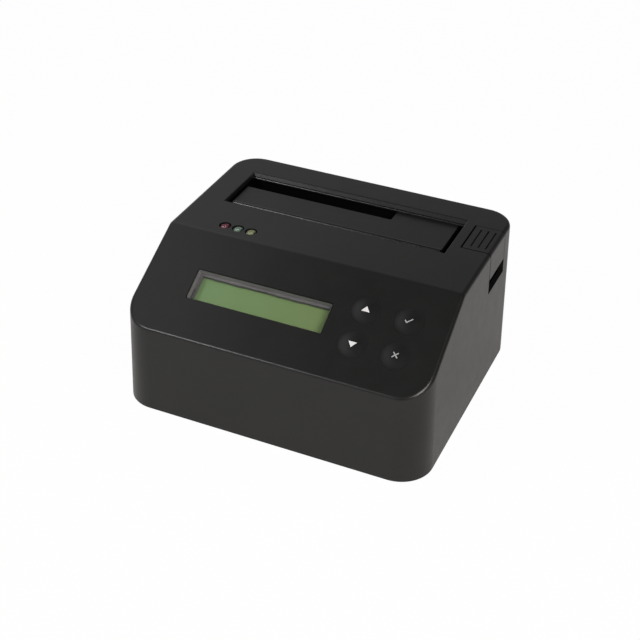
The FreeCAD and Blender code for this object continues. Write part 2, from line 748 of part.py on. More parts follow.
# Drive well
def eject_bracket():
    """Shelf on the well's right wall that guides the eject stem and carries the eject spring."""
    wall_x = WELL_X1 + WELL_WALL
    reach = X_SIDE - WALL - LOOSE_FIT - SLIDE_GAP
    shelf = box((wall_x - SEAM_GAP, reach), (EJECT_Y0, EJECT_Y1), (Z_BRACKET - BRACKET_THICKNESS, Z_BRACKET))
    post_z = (Z_BRACKET - SEAM_GAP, Z_BRACKET + SPRING_POST_HEIGHT)
    post = stud(SPRING_POST_RADIUS, STEM_X, SPRING_Y, post_z)
    low = Z_BRACKET - BRACKET_THICKNESS
    inside = wall_x - SEAM_GAP
    brace = [(inside, low + SEAM_GAP), (reach, low + SEAM_GAP), (inside, low - (reach - wall_x))]
    beside_stem = STEM_Y - STEM_BREADTH / 2 - LOOSE_FIT - WELL_WALL
    braces = [plate_from(brace, "xz", (y, y + WELL_WALL)) for y in (EJECT_Y0, beside_stem)]
    return [shelf, post] + braces


def stem_hole():
    hole_x = span(STEM_X, STEM_WIDTH + 2 * SLIDE_GAP)
    hole_y = span(STEM_Y, STEM_BREADTH + 2 * SLIDE_GAP)
    return box(hole_x, hole_y, (Z_BRACKET - 2 * BRACKET_THICKNESS, Z_BRACKET + BRACKET_THICKNESS))


def rocker_ears():
    """Two ears under the well's floor that hold the rocker's pin."""
    ears = []
    for side in (-1, 1):
        inside = STEM_Y + side * (ROCKER_BREADTH / 2 + SLIDE_GAP)
        outside = inside + side * EAR_THICKNESS
        y = (min(inside, outside), max(inside, outside))
        ears.append(box(span(PIVOT_X, 2 * EAR_RADIUS), y, (Z_PIVOT, Z_FLOOR + SEAM_GAP)))
        ears.append(rod(EAR_RADIUS, (PIVOT_X, y[0], Z_PIVOT), (PIVOT_X, y[1], Z_PIVOT)))
    return ears


def rocker_pin_span():
    half = ROCKER_BREADTH / 2 + SLIDE_GAP + EAR_THICKNESS
    return (STEM_Y - half, STEM_Y + half)


def drive_well():
    outside_x = (WELL_X0 - WELL_WALL, WELL_X1 + WELL_WALL)
    outside_y = (WELL_Y0 - WELL_WALL, WELL_Y1 + WELL_WALL)
    tub = box(outside_x, outside_y, (Z_FLOOR, Z_DECK))
    hollow = box((WELL_X0, WELL_X1), (WELL_Y0, WELL_Y1), (Z_WELL, Z_TOP))
    tub = tub.cut(hollow)
    lug_z = (Z_DECK - LUG_DROP - WELL_WALL, Z_DECK - LUG_DROP)
    additions = eject_bracket() + rocker_ears()
    cuts = [stem_hole()]
    for x, y in lug_places():
        reach = (outside_y[0] - LUG_SIZE, outside_y[0] + SEAM_GAP)
        if y > WELL_Y0:
            reach = (outside_y[1] - SEAM_GAP, outside_y[1] + LUG_SIZE)
        additions.append(box(span(x, LUG_SIZE), reach, lug_z))
        cuts.append(stud(SCREW_SHANK + SEAM_GAP, x, y, (lug_z[0] - WALL, lug_z[1] + WALL)))
    for x, y in CARRIER_SCREWS:
        additions.append(stud(POST_RADIUS, x, y, (Z_CARRIER, Z_FLOOR + SEAM_GAP)))
        cuts.append(stud(SCREW_SHANK + SCREW_GAP, x, y, (Z_CARRIER, Z_WELL - SEAM_GAP)))
    through = (Z_FLOOR - WALL, Z_WELL + WALL)
    connector_x = (CONNECTOR_X - LOOSE_FIT, CONNECTOR_END + LOOSE_FIT)
    cuts.append(box(connector_x, span(CONNECTOR_Y, CONNECTOR_BREADTH + 2 * LOOSE_FIT), through))
    pad_x = (PAD_X - ROCKER_PAD_WIDTH / 2 - 2 * LOOSE_FIT, PAD_X + ROCKER_PAD_WIDTH + 2 * LOOSE_FIT)
    cuts.append(box(pad_x, span(STEM_Y, ROCKER_BREADTH + 2 * LOOSE_FIT), through))
    pin_y = rocker_pin_span()
    pin_hole = ROCKER_PIN_RADIUS + PIN_GAP
    cuts.append(rod(pin_hole, (PIVOT_X, pin_y[0] - WALL, Z_PIVOT), (PIVOT_X, pin_y[1] + WALL, Z_PIVOT)))
    hinge_hole = HINGE_PIN_RADIUS + PIN_GAP
    hinge_x = (outside_x[0] - WALL, outside_x[1] + WALL)
    cuts.append(rod(hinge_hole, (hinge_x[0], Y_HINGE, Z_HINGE), (hinge_x[1], Y_HINGE, Z_HINGE)))
    return union([tub] + additions).cut(cuts).removeSplitter()


def well_screws():
    seat = Z_DECK - LUG_DROP - WELL_WALL
    return screws(lug_places(), seat, WELL_WALL + SCREW_GRIP - SEAM_GAP)


# Dust flap
def dust_flap():
    plate_z = (FLAP_TOP - FLAP_THICKNESS, FLAP_TOP)
    plate = rounded_plate((FLAP_X0, FLAP_X1), (Y_HINGE - BARREL_RADIUS, FLAP_Y1), FLAP_CORNER, plate_z)
    ahead = box((FLAP_X0, FLAP_X1), (Y_HINGE - 2 * BARREL_RADIUS, Y_HINGE), plate_z)
    notch = rounded_plate((FLAP_X0 - SLOT_DEPTH, NOTCH_X), (NOTCH_Y, NOTCH_Y + SLOT_DEPTH), FLAP_CORNER,
                          (plate_z[0] - WALL, plate_z[1] + WALL))
    barrel = rod(BARREL_RADIUS, (FLAP_X0, Y_HINGE, Z_HINGE), (FLAP_X1, Y_HINGE, Z_HINGE))
    room_y = (Y_HINGE - 2 * BARREL_RADIUS, Y_HINGE + BARREL_RADIUS + LOOSE_FIT)
    room_z = (Z_HINGE - 2 * BARREL_RADIUS, FLAP_TOP + WALL)
    room = box(span(FLAP_SPRING_X, FLAP_SPRING_ROOM), room_y, room_z)
    bore = rod(HINGE_PIN_RADIUS + PIN_GAP, (SLOT_X0, Y_HINGE, Z_HINGE), (SLOT_X1, Y_HINGE, Z_HINGE))
    return union([plate.cut([ahead, notch]), barrel]).cut([room, bore]).removeSplitter()


def flap_hinge_pin():
    start = (WELL_X0 - WELL_WALL, Y_HINGE, Z_HINGE)
    end = (WELL_X1 + WELL_WALL, Y_HINGE, Z_HINGE)
    return rod(HINGE_PIN_RADIUS, start, end)


def flap_spring():
    """Torsion spring round the hinge pin: one leg under the flap, one on the well's front wall."""
    radius = HINGE_PIN_RADIUS + LOOSE_FIT + FLAP_SPRING_WIRE / 2
    pitch = FLAP_SPRING_WIRE * 2 + 2 * SCREW_GAP
    sweep = FLAP_SPRING_TURNS * COIL_STEPS + COIL_STEPS // 4
    start_x = FLAP_SPRING_X - FLAP_SPRING_TURNS * pitch / 2
    flap_under = FLAP_TOP - FLAP_THICKNESS - FLAP_SPRING_WIRE - SCREW_GAP
    leg_y = Y_HINGE + radius + FLAP_LEG_LENGTH
    points = [Vector(start_x, leg_y, flap_under)]
    for index in range(sweep + 1):
        turn = -math.pi / 2 - 2 * math.pi * index / COIL_STEPS
        x = start_x + pitch * index / COIL_STEPS
        points.append(Vector(x, Y_HINGE + radius * math.cos(turn), Z_HINGE + radius * math.sin(turn)))
    last = points[-1]
    points.append(Vector(last.x, WELL_Y0 + FLAP_SPRING_WIRE + SCREW_GAP, Z_HINGE - FLAP_LEG_LENGTH))
    return coil(points, (1, 0, 0), FLAP_SPRING_WIRE)


# Eject button, spring and rocker
def eject_button(outer, inner):
    """A piece of the housing's skin with a ridged top, ribs below and a stem down to the rocker."""
    x = (EJECT_X, BODY_WIDTH)
    y = (EJECT_Y0, EJECT_Y1)
    skin = outer.cut(inner).common(box(x, y, (Z_SKIRT, Z_TOP + WALL)))
    under = (Z_DECK - EJECT_RIB_DEPTH, Z_DECK + SEAM_GAP)
    inside = drafted_block(WALL - SEAM_GAP, (Z_BASE, Z_TOP), HIDDEN_CHORDS)
    ribs = [box(x, (y[0], y[0] + EJECT_RIB), under), box(x, (y[1] - EJECT_RIB, y[1]), under)]
    ribs.append(box((x[0], x[0] + EJECT_RIB), y, under))
    stem = box(span(STEM_X, STEM_WIDTH), span(STEM_Y, STEM_BREADTH), (Z_STEM, Z_DECK + SEAM_GAP))
    nub = stud(SPRING_POST_RADIUS, STEM_X, SPRING_Y, (Z_DECK - EJECT_RIB, Z_DECK + SEAM_GAP))
    grooves = []
    for index in range(GROOVE_COUNT):
        groove_x = span(EJECT_X + GROOVE_FIRST + index * GROOVE_PITCH, GROOVE_WIDTH)
        grooves.append(box(groove_x, span(EJECT_Y, GROOVE_LENGTH), (Z_TOP - GROOVE_DEPTH, Z_TOP + WALL)))
    trimmed = [rib.common(inside) for rib in ribs]
    return union([skin, stem, nub] + trimmed).cut(grooves).removeSplitter()


def eject_spring():
    low = Z_BRACKET + EJECT_SPRING_WIRE + SCREW_GAP
    high = Z_DECK - EJECT_SPRING_WIRE - SCREW_GAP
    count = EJECT_SPRING_TURNS * COIL_STEPS
    points = []
    for index in range(count + 1):
        turn = 2 * math.pi * index / COIL_STEPS
        # the end turns lie flat on the shelf and under the button
        climb = min(max((index - COIL_STEPS) / (count - 2 * COIL_STEPS), 0), 1)
        x = STEM_X + EJECT_COIL_RADIUS * math.cos(turn)
        y = SPRING_Y + EJECT_COIL_RADIUS * math.sin(turn)
        points.append(Vector(x, y, low + climb * (high - low)))
    return coil(points, (0, 0, 1), EJECT_SPRING_WIRE)


def eject_rocker():
    """Cranked lever: the stem presses its nose, and its pad rises through the well's floor."""
    y = span(STEM_Y, ROCKER_BREADTH)
    half = ROCKER_HALF_BAR
    inner_x = PAD_X - ROCKER_PAD_WIDTH / 2
    bar = [
        (inner_x, Z_PIVOT - half),
        (PIVOT_X, Z_PIVOT - half),
        (STEM_X, Z_NOSE - ROCKER_NOSE_RADIUS),
        (STEM_X, Z_NOSE + half / 2),
        (PIVOT_X, Z_PIVOT + half),
        (inner_x, Z_PIVOT + half),
    ]
    pad_z = (Z_PIVOT - half, Z_WELL - LOOSE_FIT)
    crown = ROCKER_PAD_WIDTH / 2
    pad = box(span(PAD_X, ROCKER_PAD_WIDTH), y, (pad_z[0], pad_z[1] - crown))
    shapes = [plate_from(bar, "xz", y), pad]
    shapes.append(rod(crown, (PAD_X, y[0], pad_z[1] - crown), (PAD_X, y[1], pad_z[1] - crown)))
    shapes.append(rod(ROCKER_HUB_RADIUS, (PIVOT_X, y[0], Z_PIVOT), (PIVOT_X, y[1], Z_PIVOT)))
    shapes.append(rod(ROCKER_NOSE_RADIUS, (STEM_X, y[0], Z_NOSE), (STEM_X, y[1], Z_NOSE)))
    bore = rod(ROCKER_PIN_RADIUS + PIN_GAP, (PIVOT_X, y[0] - WALL, Z_PIVOT), (PIVOT_X, y[1] + WALL, Z_PIVOT))
    return union(shapes).cut(bore).removeSplitter()


def rocker_pin():
    y = rocker_pin_span()
    return rod(ROCKER_PIN_RADIUS, (PIVOT_X, y[0], Z_PIVOT), (PIVOT_X, y[1], Z_PIVOT))


# Drive connector
def carrier_board():
    x = (CONNECTOR_X - CARRIER_MARGIN, CONNECTOR_END + LOOSE_FIT)
    return board(x, (CARRIER_FRONT, WELL_Y1 + LOOSE_FIT), Z_CARRIER, CARRIER_SCREWS)


def carrier_screws():
    grip = BOARD + Z_WELL - Z_CARRIER - 2 * SEAM_GAP
    return screws(CARRIER_SCREWS, Z_CARRIER - BOARD, grip)


def blade_slots():
    """The two L-shaped slots that the drive's blades enter."""
    top = Z_CARRIER + CONNECTOR_HEIGHT
    z = (top - BLADE_DEPTH, top + WALL)
    slots = []
    rows = ((SIGNAL_START, SIGNAL_LENGTH, False), (POWER_START, POWER_LENGTH, True))
    for start, length, foot_at_end in rows:
        x = (CONNECTOR_X + start, CONNECTOR_X + start + length)
        foot_x = (x[1] - BLADE_FOOT, x[1]) if foot_at_end else (x[0], x[0] + BLADE_FOOT)
        y = span(CONNECTOR_Y, BLADE_SLOT)
        slots.append(box(x, y, z).fuse(box(foot_x, (y[0] - BLADE_FOOT, y[1]), z)))
    return slots


def drive_connector():
    x = (CONNECTOR_X, CONNECTOR_END)
    body = box(x, span(CONNECTOR_Y, CONNECTOR_BREADTH), (Z_CARRIER, Z_CARRIER + CONNECTOR_HEIGHT))
    ends = []
    for edge in body.Edges:
        if edge.BoundBox.ZMin > body.CenterOfMass.z and edge.BoundBox.XLength < BLADE_FOOT:
            ends.append(edge)
    return body.makeChamfer(BLADE_FOOT, ends).cut(blade_slots())


def connector_contacts():
    top = Z_CARRIER + CONNECTOR_HEIGHT
    back = CONNECTOR_Y + BLADE_SLOT / 2
    strips = []
    rows = ((SIGNAL_START, SIGNAL_LENGTH, SIGNAL_CONTACTS), (POWER_START, POWER_LENGTH, POWER_CONTACTS))
    for start, length, count in rows:
        middle = CONNECTOR_X + start + length / 2
        for index in range(count):
            x = middle + (index - (count - 1) / 2) * CONTACT_PITCH
            z = (top - BLADE_DEPTH, top - BLADE_FOOT)
            strips.append(box(span(x, CONTACT_WIDTH), (back - CONTACT_THICKNESS, back), z))
    return Part.makeCompound(strips)


def board_link():
    x = span(CONNECTOR_X + CONNECTOR_LENGTH / 3, LINK_LENGTH)
    y = (CARRIER_FRONT + SEAM_GAP, CARRIER_FRONT + SEAM_GAP + LINK_BREADTH)
    return box(x, y, (Z_BOARD, Z_CARRIER - BOARD))


# Main board and what stands on it
def main_board():
    return board((MAIN_LEFT, MAIN_RIGHT), (MAIN_FRONT, MAIN_REAR), Z_BOARD, main_screw_places())


def main_screws():
    return screws(main_screw_places(), Z_BOARD, -(BOARD + SCREW_GRIP - 2 * SEAM_GAP))


def main_chips():
    """Controller, bridge, memory and a choke, as square packages soldered on the main board."""
    shapes = []
    for x, y, side, height in PACKAGES:
        shapes.append(box(span(x, side), span(y, side), (Z_BOARD, Z_BOARD + height)))
    return Part.makeCompound(shapes)


def main_capacitors():
    z = (Z_BOARD, Z_BOARD + CAPACITOR_HEIGHT)
    return Part.makeCompound([stud(CAPACITOR_RADIUS, x, y, z, LAMP_SIDES) for x, y in CAPACITORS])


# Rear ports
def data_port_shell():
    """Stepped metal shell: a wide lower mouth with cut corners and a narrow upper one."""
    x = span(DATA_X, DATA_WIDTH)
    y = (Y_PORT - DATA_DEPTH, Y_PORT)
    body = box(x, y, (Z_BOARD, Z_BOARD + DATA_HEIGHT))
    mouth_y = (y[0] + DATA_BACK, y[1] + WALL)
    left, right = span(DATA_X, DATA_MOUTH_WIDTH)
    low = Z_BOARD + DATA_LIP
    shoulder = low + DATA_SHOULDER
    top = low + DATA_MOUTH_HEIGHT
    outline = [
        (left, low),
        (right, low),
        (right, shoulder),
        (right - DATA_CORNER_CUT, top),
        (left + DATA_CORNER_CUT, top),
        (left, shoulder),
    ]
    lower = plate_from(outline, "xz", mouth_y)
    upper_x = (left + DATA_CORNER_CUT, right - DATA_CORNER_CUT)
    upper = box(upper_x, mouth_y, (top - SEAM_GAP, top + DATA_UPPER_HEIGHT))
    return body.cut([lower, upper])


def data_port_tongue():
    """Insulating tongues inside the data port."""
    y = (Y_PORT - DATA_DEPTH + DATA_BACK, Y_PORT - TONGUE_SINK)
    low = Z_BOARD + DATA_LIP + TONGUE_RISE
    lower = box(span(DATA_X, TONGUE_WIDTH), y, (low, low + TONGUE_HEIGHT))
    middle = Z_BOARD + DATA_LIP + DATA_MOUTH_HEIGHT + DATA_UPPER_HEIGHT / 2
    upper = box(span(DATA_X, UPPER_TONGUE_WIDTH), y, span(middle, UPPER_TONGUE_HEIGHT))
    return Part.makeCompound([lower, upper])


def power_inlet():
    y = (Y_PORT_INSIDE - INLET_DEPTH, Y_PORT_INSIDE - SEAM_GAP)
    body = box(span(INLET_X, INLET_WIDTH), y, (Z_BOARD, Z_BOARD + INLET_HEIGHT))
    nose = rod(INLET_NOSE_RADIUS, (INLET_X, y[0] + INLET_NOSE_RADIUS, Z_INLET), (INLET_X, Y_PORT, Z_INLET))
    bore_y = (Y_PORT - INLET_BORE_DEPTH, Y_PORT + WALL)
    bore = rod(INLET_BORE_RADIUS, (INLET_X, bore_y[0], Z_INLET), (INLET_X, bore_y[1], Z_INLET))
    return union([body, nose]).cut(bore)


def inlet_pin():
    start = (INLET_X, Y_PORT - INLET_BORE_DEPTH, Z_INLET)
    return rod(INLET_PIN_RADIUS, start, (INLET_X, Y_PORT - INLET_PIN_SINK, Z_INLET))


def power_switch_body():
    body = box(span(SWITCH_X, POWER_WIDTH), (Y_PORT - POWER_DEPTH, Y_PORT), span(Z_POWER, POWER_HEIGHT))
    cavity_y = (Y_PORT - POWER_CAVITY_DEPTH, Y_PORT + WALL)
    cavity = box(span(SWITCH_X, POWER_CAVITY), cavity_y, span(Z_POWER, POWER_CAVITY_HEIGHT))
    reach = POWER_CAVITY_HEIGHT / 2 + POWER_SOCKET_DEPTH
    start = (SWITCH_X, Y_POWER_PIVOT, Z_POWER - reach)
    sockets = rod(POWER_STUB_RADIUS + PIN_GAP, start, (SWITCH_X, Y_POWER_PIVOT, Z_POWER + reach))
    return body.cut([cavity, sockets])


def power_rocker():
    """Two-position rocker with a dished face, resting at its off position."""
    z = span(Z_POWER, POWER_CAVITY_HEIGHT - 2 * SLIDE_GAP)
    half = POWER_CAVITY / 2 - 2 * SLIDE_GAP
    dish = POWER_PIVOT_DEPTH + POWER_DISH
    rim = POWER_PIVOT_DEPTH + POWER_RIM
    hub = POWER_CAVITY_DEPTH - POWER_PIVOT_DEPTH - 2 * SLIDE_GAP
    corners = [(-half, POWER_UNDERCUT), (half, POWER_UNDERCUT), (half, rim), (0, dish), (-half, rim)]
    outline = [Vector(a, b, z[0]) for a, b in corners]
    face = flat(outline).extrude(Vector(0, 0, z[1] - z[0]))
    drum = rod(hub, (0, 0, z[0]), (0, 0, z[1]))
    reach = POWER_CAVITY_HEIGHT / 2 + POWER_SOCKET_DEPTH - SLIDE_GAP
    stub = rod(POWER_STUB_RADIUS, (0, 0, Z_POWER - reach), (0, 0, Z_POWER + reach))
    rocker = union([face, drum, stub])
    rocker.Placement = Placement(Vector(SWITCH_X, Y_POWER_PIVOT, 0), Rotation(Vector(0, 0, 1), -POWER_TILT))
    return rocker


# Display
def display_window():
    """Clear window: a plug that fills the opening from behind, with a flange on the panel's inner face."""
    gap = 2 * SEAM_GAP
    plug_x = span(WINDOW_CENTRE, WINDOW_WIDTH - gap)
    plug_v = span(PANEL_MIDDLE, WINDOW_HEIGHT - gap)
    plug_w = (W_LENS - LENS_FLANGE_THICKNESS, -LENS_SINK)
    plug = rounded_plate(plug_x, plug_v, WINDOW_CORNER / 2, plug_w)
    flange_x = span(WINDOW_CENTRE, WINDOW_WIDTH + 2 * LENS_FLANGE)
    flange_v = span(PANEL_MIDDLE, WINDOW_HEIGHT + 2 * LENS_FLANGE)
    flange = box(flange_x, flange_v, (W_LENS - LENS_FLANGE_THICKNESS, W_LENS))
    return on_panel(union([plug, flange]))


def display_gasket():
    """Foam frame between the window's flange and the bezel."""
    w = (W_BEZEL, W_LENS - LENS_FLANGE_THICKNESS)
    outside_x = span(WINDOW_CENTRE, BEZEL_WIDTH - 2 * GASKET_INSET)
    outside_v = span(PANEL_MIDDLE, BEZEL_HEIGHT - 2 * GASKET_INSET)
    through = (w[0] - WALL, w[1] + WALL)
    view = box(span(WINDOW_CENTRE, WINDOW_WIDTH), span(PANEL_MIDDLE, WINDOW_HEIGHT), through)
    return on_panel(box(outside_x, outside_v, w).cut(view))


def display_bezel():
    x = span(WINDOW_CENTRE, BEZEL_WIDTH)
    v = span(PANEL_MIDDLE, BEZEL_HEIGHT)
    can = box(x, v, (W_DISPLAY, W_BEZEL))
    inside_x = (x[0] + BEZEL_SHEET, x[1] - BEZEL_SHEET)
    inside_v = (v[0] + BEZEL_SHEET, v[1] - BEZEL_SHEET)
    hollow = box(inside_x, inside_v, (W_DISPLAY - WALL, W_GLASS))
    view_x = (x[0] + BEZEL_END_RIM, x[1] - BEZEL_END_RIM)
    view_v = (v[0] + BEZEL_SIDE_RIM, v[1] - BEZEL_SIDE_RIM)
    view = box(view_x, view_v, (W_DISPLAY, WALL))
    return on_panel(can.cut([hollow, view]))


def display_layer(w):
    """A sheet that fills the bezel between two depths."""
    margin = 2 * (BEZEL_SHEET + SEAM_GAP)
    x = span(WINDOW_CENTRE, BEZEL_WIDTH - margin)
    v = span(PANEL_MIDDLE, BEZEL_HEIGHT - margin)
    return on_panel(box(x, v, w))


def panel_screws(places, w):
    return on_panel(screws(places, w - BOARD, BOARD + SCREW_GRIP - 2 * SEAM_GAP))


# Keys
def key_cap(x, v):
    """Round cap of soft moulding, stepped down from its crown to its edge, with a retaining flange."""
    rim = KEY_RADIUS + KEY_FLANGE
    shoulder = W_KEY + KEY_FLANGE_THICKNESS
    crown = KEY_RADIUS * KEY_CROWN_SHARE
    profile = [
        (rim, W_KEY),
        (rim, shoulder),
        (KEY_RADIUS, shoulder),
        (KEY_RADIUS, KEY_EDGE_RISE),
        (crown, KEY_DOME_RISE - (KEY_DOME_RISE - KEY_EDGE_RISE) * KEY_CROWN_SHARE ** 2),
        (crown * KEY_CROWN_SHARE ** 2, KEY_DOME_RISE),
    ]
    return on_panel(turned(x, v, profile, ROUND_SIDES))


def key_plunger(x, v):
    return on_panel(stud(PLUNGER_RADIUS, x, v, (W_KEY - PLUNGER_LENGTH, W_KEY)))


def key_switches():
    bodies = []
    for x, v in key_places().values():
        body = box(span(x, SWITCH_SIDE), span(v, SWITCH_SIDE), (W_KEY_BOARD, W_SWITCH))
        floor = W_KEY - PLUNGER_LENGTH - KEY_TRAVEL - SLIDE_GAP
        bodies.append(on_panel(body.cut(stud(PLUNGER_RADIUS + PIN_GAP, x, v, (floor, W_SWITCH + WALL)))))
    return Part.makeCompound(bodies)


# Status lamps
def status_lamp(x):
    """Bullet-shaped lamp: a flange on the board, a barrel and a nose that narrows in two steps."""
    top = Z_TOP - LAMP_SINK
    shoulder = top - LAMP_RADIUS
    half = LAMP_RADIUS * math.sqrt(0.5)
    profile = [
        (LAMP_FLANGE_RADIUS, Z_LAMP_BOARD),
        (LAMP_FLANGE_RADIUS, Z_LAMP_BOARD + LAMP_FLANGE),
        (LAMP_RADIUS, Z_LAMP_BOARD + LAMP_FLANGE),
        (LAMP_RADIUS, shoulder),
        (half, shoulder + half),
        (LAMP_RADIUS - half, top),
    ]
    return turned(x, LAMP_Y, profile, LAMP_SIDES)


def lamp_board():
    x = span(LAMP_MIDDLE, 2 * LAMP_POST_REACH + 2 * POST_RADIUS)
    return board(x, span(LAMP_Y, LAMP_BOARD_DEPTH), Z_LAMP_BOARD, lamp_screw_places())


def lamp_screws():
    return screws(lamp_screw_places(), Z_LAMP_BOARD - BOARD, BOARD + SCREW_GRIP - 2 * SEAM_GAP)


# Ribbon leads
def ribbon_from_panel(x, board_top, w):
    """Flat lead that leaves a panel board square to it, bends and drops to the main board."""
    start = Vector(*panel_point(x[0], board_top - 2 * RIBBON_THICKNESS, w))
    away = Vector(0, math.sin(TILT), -math.cos(TILT))
    cut = RIBBON_BEND * math.tan(TILT / 2)
    corner = start + away * (2 * cut + RIBBON_BEND)
    bend_start = corner - away * cut
    bend_end = corner + Vector(0, 0, -cut)
    centre = bend_end + Vector(0, -RIBBON_BEND, 0)
    middle = centre + Vector(0, RIBBON_BEND * math.cos(TILT / 2), RIBBON_BEND * math.sin(TILT / 2))
    end = Vector(corner.x, corner.y, Z_BOARD)
    path = Part.Wire([
        Part.LineSegment(start, bend_start).toShape(),
        Part.Arc(bend_start, middle, bend_end).toShape(),
        Part.LineSegment(bend_end, end).toShape(),
    ])
    side = Vector(0, math.cos(TILT), math.sin(TILT)) * (RIBBON_THICKNESS / 2)
    width = Vector(x[1] - x[0], 0, 0)
    corners = [start - side, start + side, start + side + width, start - side + width]
    profile = Part.makePolygon(corners + corners[:1])
    return path.makePipeShell([profile], True, False)


def lamp_ribbon():
    x = span(LAMP_FIRST, LAMP_PITCH)
    y = span(LAMP_Y + LAMP_BOARD_DEPTH / 4, RIBBON_THICKNESS)
    return box(x, y, (Z_BOARD, Z_LAMP_BOARD - BOARD))


def all_nodes():
    """Every piece of the dock by name."""
    outer = outer_form()
    inner = inner_form()
    display_x = span(WINDOW_CENTRE, DISPLAY_BOARD_WIDTH)
    display_v = span(PANEL_MIDDLE, DISPLAY_BOARD_HEIGHT)
    key_x = span(KEY_CENTRE, KEY_BOARD_WIDTH)
    key_v = span(PANEL_MIDDLE, KEY_BOARD_HEIGHT)
    nodes = {
        "upper_housing": upper_housing(outer, inner),
        "bottom_cover": bottom_cover(),
        "rubber_feet": rubber_feet(),
        "cover_screws": cover_screws(),
        "drive_well": drive_well(),
        "well_screws": well_screws(),
        "dust_flap": dust_flap(),
        "flap_hinge_pin": flap_hinge_pin(),
        "flap_spring": flap_spring(),
        "eject_button": eject_button(outer, inner),
        "eject_spring": eject_spring(),
        "eject_rocker": eject_rocker(),
        "rocker_pin": rocker_pin(),
        "carrier_board": carrier_board(),
        "carrier_screws": carrier_screws(),
        "drive_connector": drive_connector(),
        "connector_contacts": connector_contacts(),
        "board_link": board_link(),
        "main_board": main_board(),
        "main_screws": main_screws(),
        "main_chips": main_chips(),
        "main_capacitors": main_capacitors(),
        "data_port_shell": data_port_shell(),
        "data_port_tongue": data_port_tongue(),
        "power_inlet": power_inlet(),
        "inlet_pin": inlet_pin(),
        "power_switch_body": power_switch_body(),
        "power_rocker": power_rocker(),
        "display_window": display_window(),
        "display_gasket": display_gasket(),
        "display_bezel": display_bezel(),
        "display_glass": display_layer((W_BACKLIGHT, W_GLASS)),
        "display_backlight": display_layer((W_DISPLAY, W_BACKLIGHT)),
        "display_board": on_panel(board(display_x, display_v, W_DISPLAY, display_screw_places())),
        "display_screws": panel_screws(display_screw_places(), W_DISPLAY),
        "key_board": on_panel(board(key_x, key_v, W_KEY_BOARD, key_screw_places())),
        "key_screws": panel_screws(key_screw_places(), W_KEY_BOARD),
        "key_switches": key_switches(),
        "lamp_board": lamp_board(),
        "lamp_screws": lamp_screws(),
        "lamp_ribbon": lamp_ribbon(),
        "display_ribbon": ribbon_from_panel(DISPLAY_RIBBON, display_v[1], W_DISPLAY - BOARD),
        "key_ribbon": ribbon_from_panel(KEY_RIBBON, key_v[1], W_KEY_BOARD - BOARD),
    }
    for name, (x, v) in key_places().items():
        nodes["key_" + name] = key_cap(x, v)
        nodes["plunger_" + name] = key_plunger(x, v)
    for name, x in zip(("red", "green", "yellow"), lamp_places()):
        nodes["lamp_" + name] = status_lamp(x)
    return nodes


def main():
    os.makedirs("parts", exist_ok=True)
    for name, shape in all_nodes().items():
        shape.exportStep("parts/" + name + ".step")


main()
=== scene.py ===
"""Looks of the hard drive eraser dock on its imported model. Metres, +X right, +Y to the rear, +Z up."""

import math

import bmesh
import bpy
from mathutils import Matrix, Vector


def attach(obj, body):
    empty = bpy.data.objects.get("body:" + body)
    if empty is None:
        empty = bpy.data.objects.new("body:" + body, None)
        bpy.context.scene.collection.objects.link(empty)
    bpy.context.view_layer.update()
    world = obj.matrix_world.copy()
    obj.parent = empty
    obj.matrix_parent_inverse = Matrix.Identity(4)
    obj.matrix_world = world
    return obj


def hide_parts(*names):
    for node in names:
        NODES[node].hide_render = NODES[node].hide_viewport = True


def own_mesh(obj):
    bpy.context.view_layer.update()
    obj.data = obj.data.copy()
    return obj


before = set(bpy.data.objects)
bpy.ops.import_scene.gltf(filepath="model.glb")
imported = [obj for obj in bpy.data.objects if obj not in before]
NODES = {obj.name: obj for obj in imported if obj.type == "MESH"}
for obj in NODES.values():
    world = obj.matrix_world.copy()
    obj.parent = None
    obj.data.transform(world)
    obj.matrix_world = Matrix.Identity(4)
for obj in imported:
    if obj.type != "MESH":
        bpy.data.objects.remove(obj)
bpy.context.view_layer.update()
MM = 0.001
SHELL_TINT = (0.009, 0.009, 0.0088)

# Sloping panel: its lower edge, its tilt and the places on it
PANEL_EDGE = Vector((0, -58.77, 42.0)) * MM
PANEL_TILT = math.radians(29.7)
PANEL_MIDDLE = 25.633
KEY_CENTRE = 40.65
KEY_STEP_X = 9.25
KEY_STEP_V = 7.95
KEYS = {"left": (-1, 1), "right": (-1, -1), "confirm": (1, 1), "cancel": (1, -1)}

# Keys
KEY_RADIUS = 6.24
KEY_RISE = 0.6
KEY_FLANGE = 7.0
KEY_FOOT = -3.4
KEY_SHOULDER = -2.5
KEY_RINGS = 14
KEY_SIDES = 64
LEGEND_LIFT = 0.03
ARROW_LENGTH = 2.55
ARROW_BREADTH = 3.7
UPWARD = math.pi / 2
STROKE = 0.5
TICK = (((-1.5, 0.0), (-0.5, -1.0)), ((-0.62, -1.02), (1.5, 1.15)))
CROSS = (((-1.15, -1.15), (1.15, 1.15)), ((-1.15, 1.15), (1.15, -1.15)))
LEGEND_CUTS = 4

# Display window
WINDOW_CENTRE = -13.75
WINDOW_SIZE = (61.5, 13.8)
WINDOW_LEVELS = (-3.2, -0.2)
WINDOW_CORNER = 0.3
WINDOW_ALPHA = 0.1
WINDOW_FLANGE = 2.3
FLANGE_PLAY = 0.02
FLANGE_LEVEL = -2.2
GASKET_SIZE = (67.8, 20.8)
GASKET_LEVELS = (-5.0, -3.2)
GASKET_MARGIN = 1.1
GASKET_WAVE = 0.16
GASKET_RIPPLES = (1.7, 0.61)
GASKET_STEPS = 24
# Painted shade on the display: its green darkens from the first x position to the second
DISPLAY_SHADE_X = (-44.5, 17.0)
CELL_SHARE = 0.05

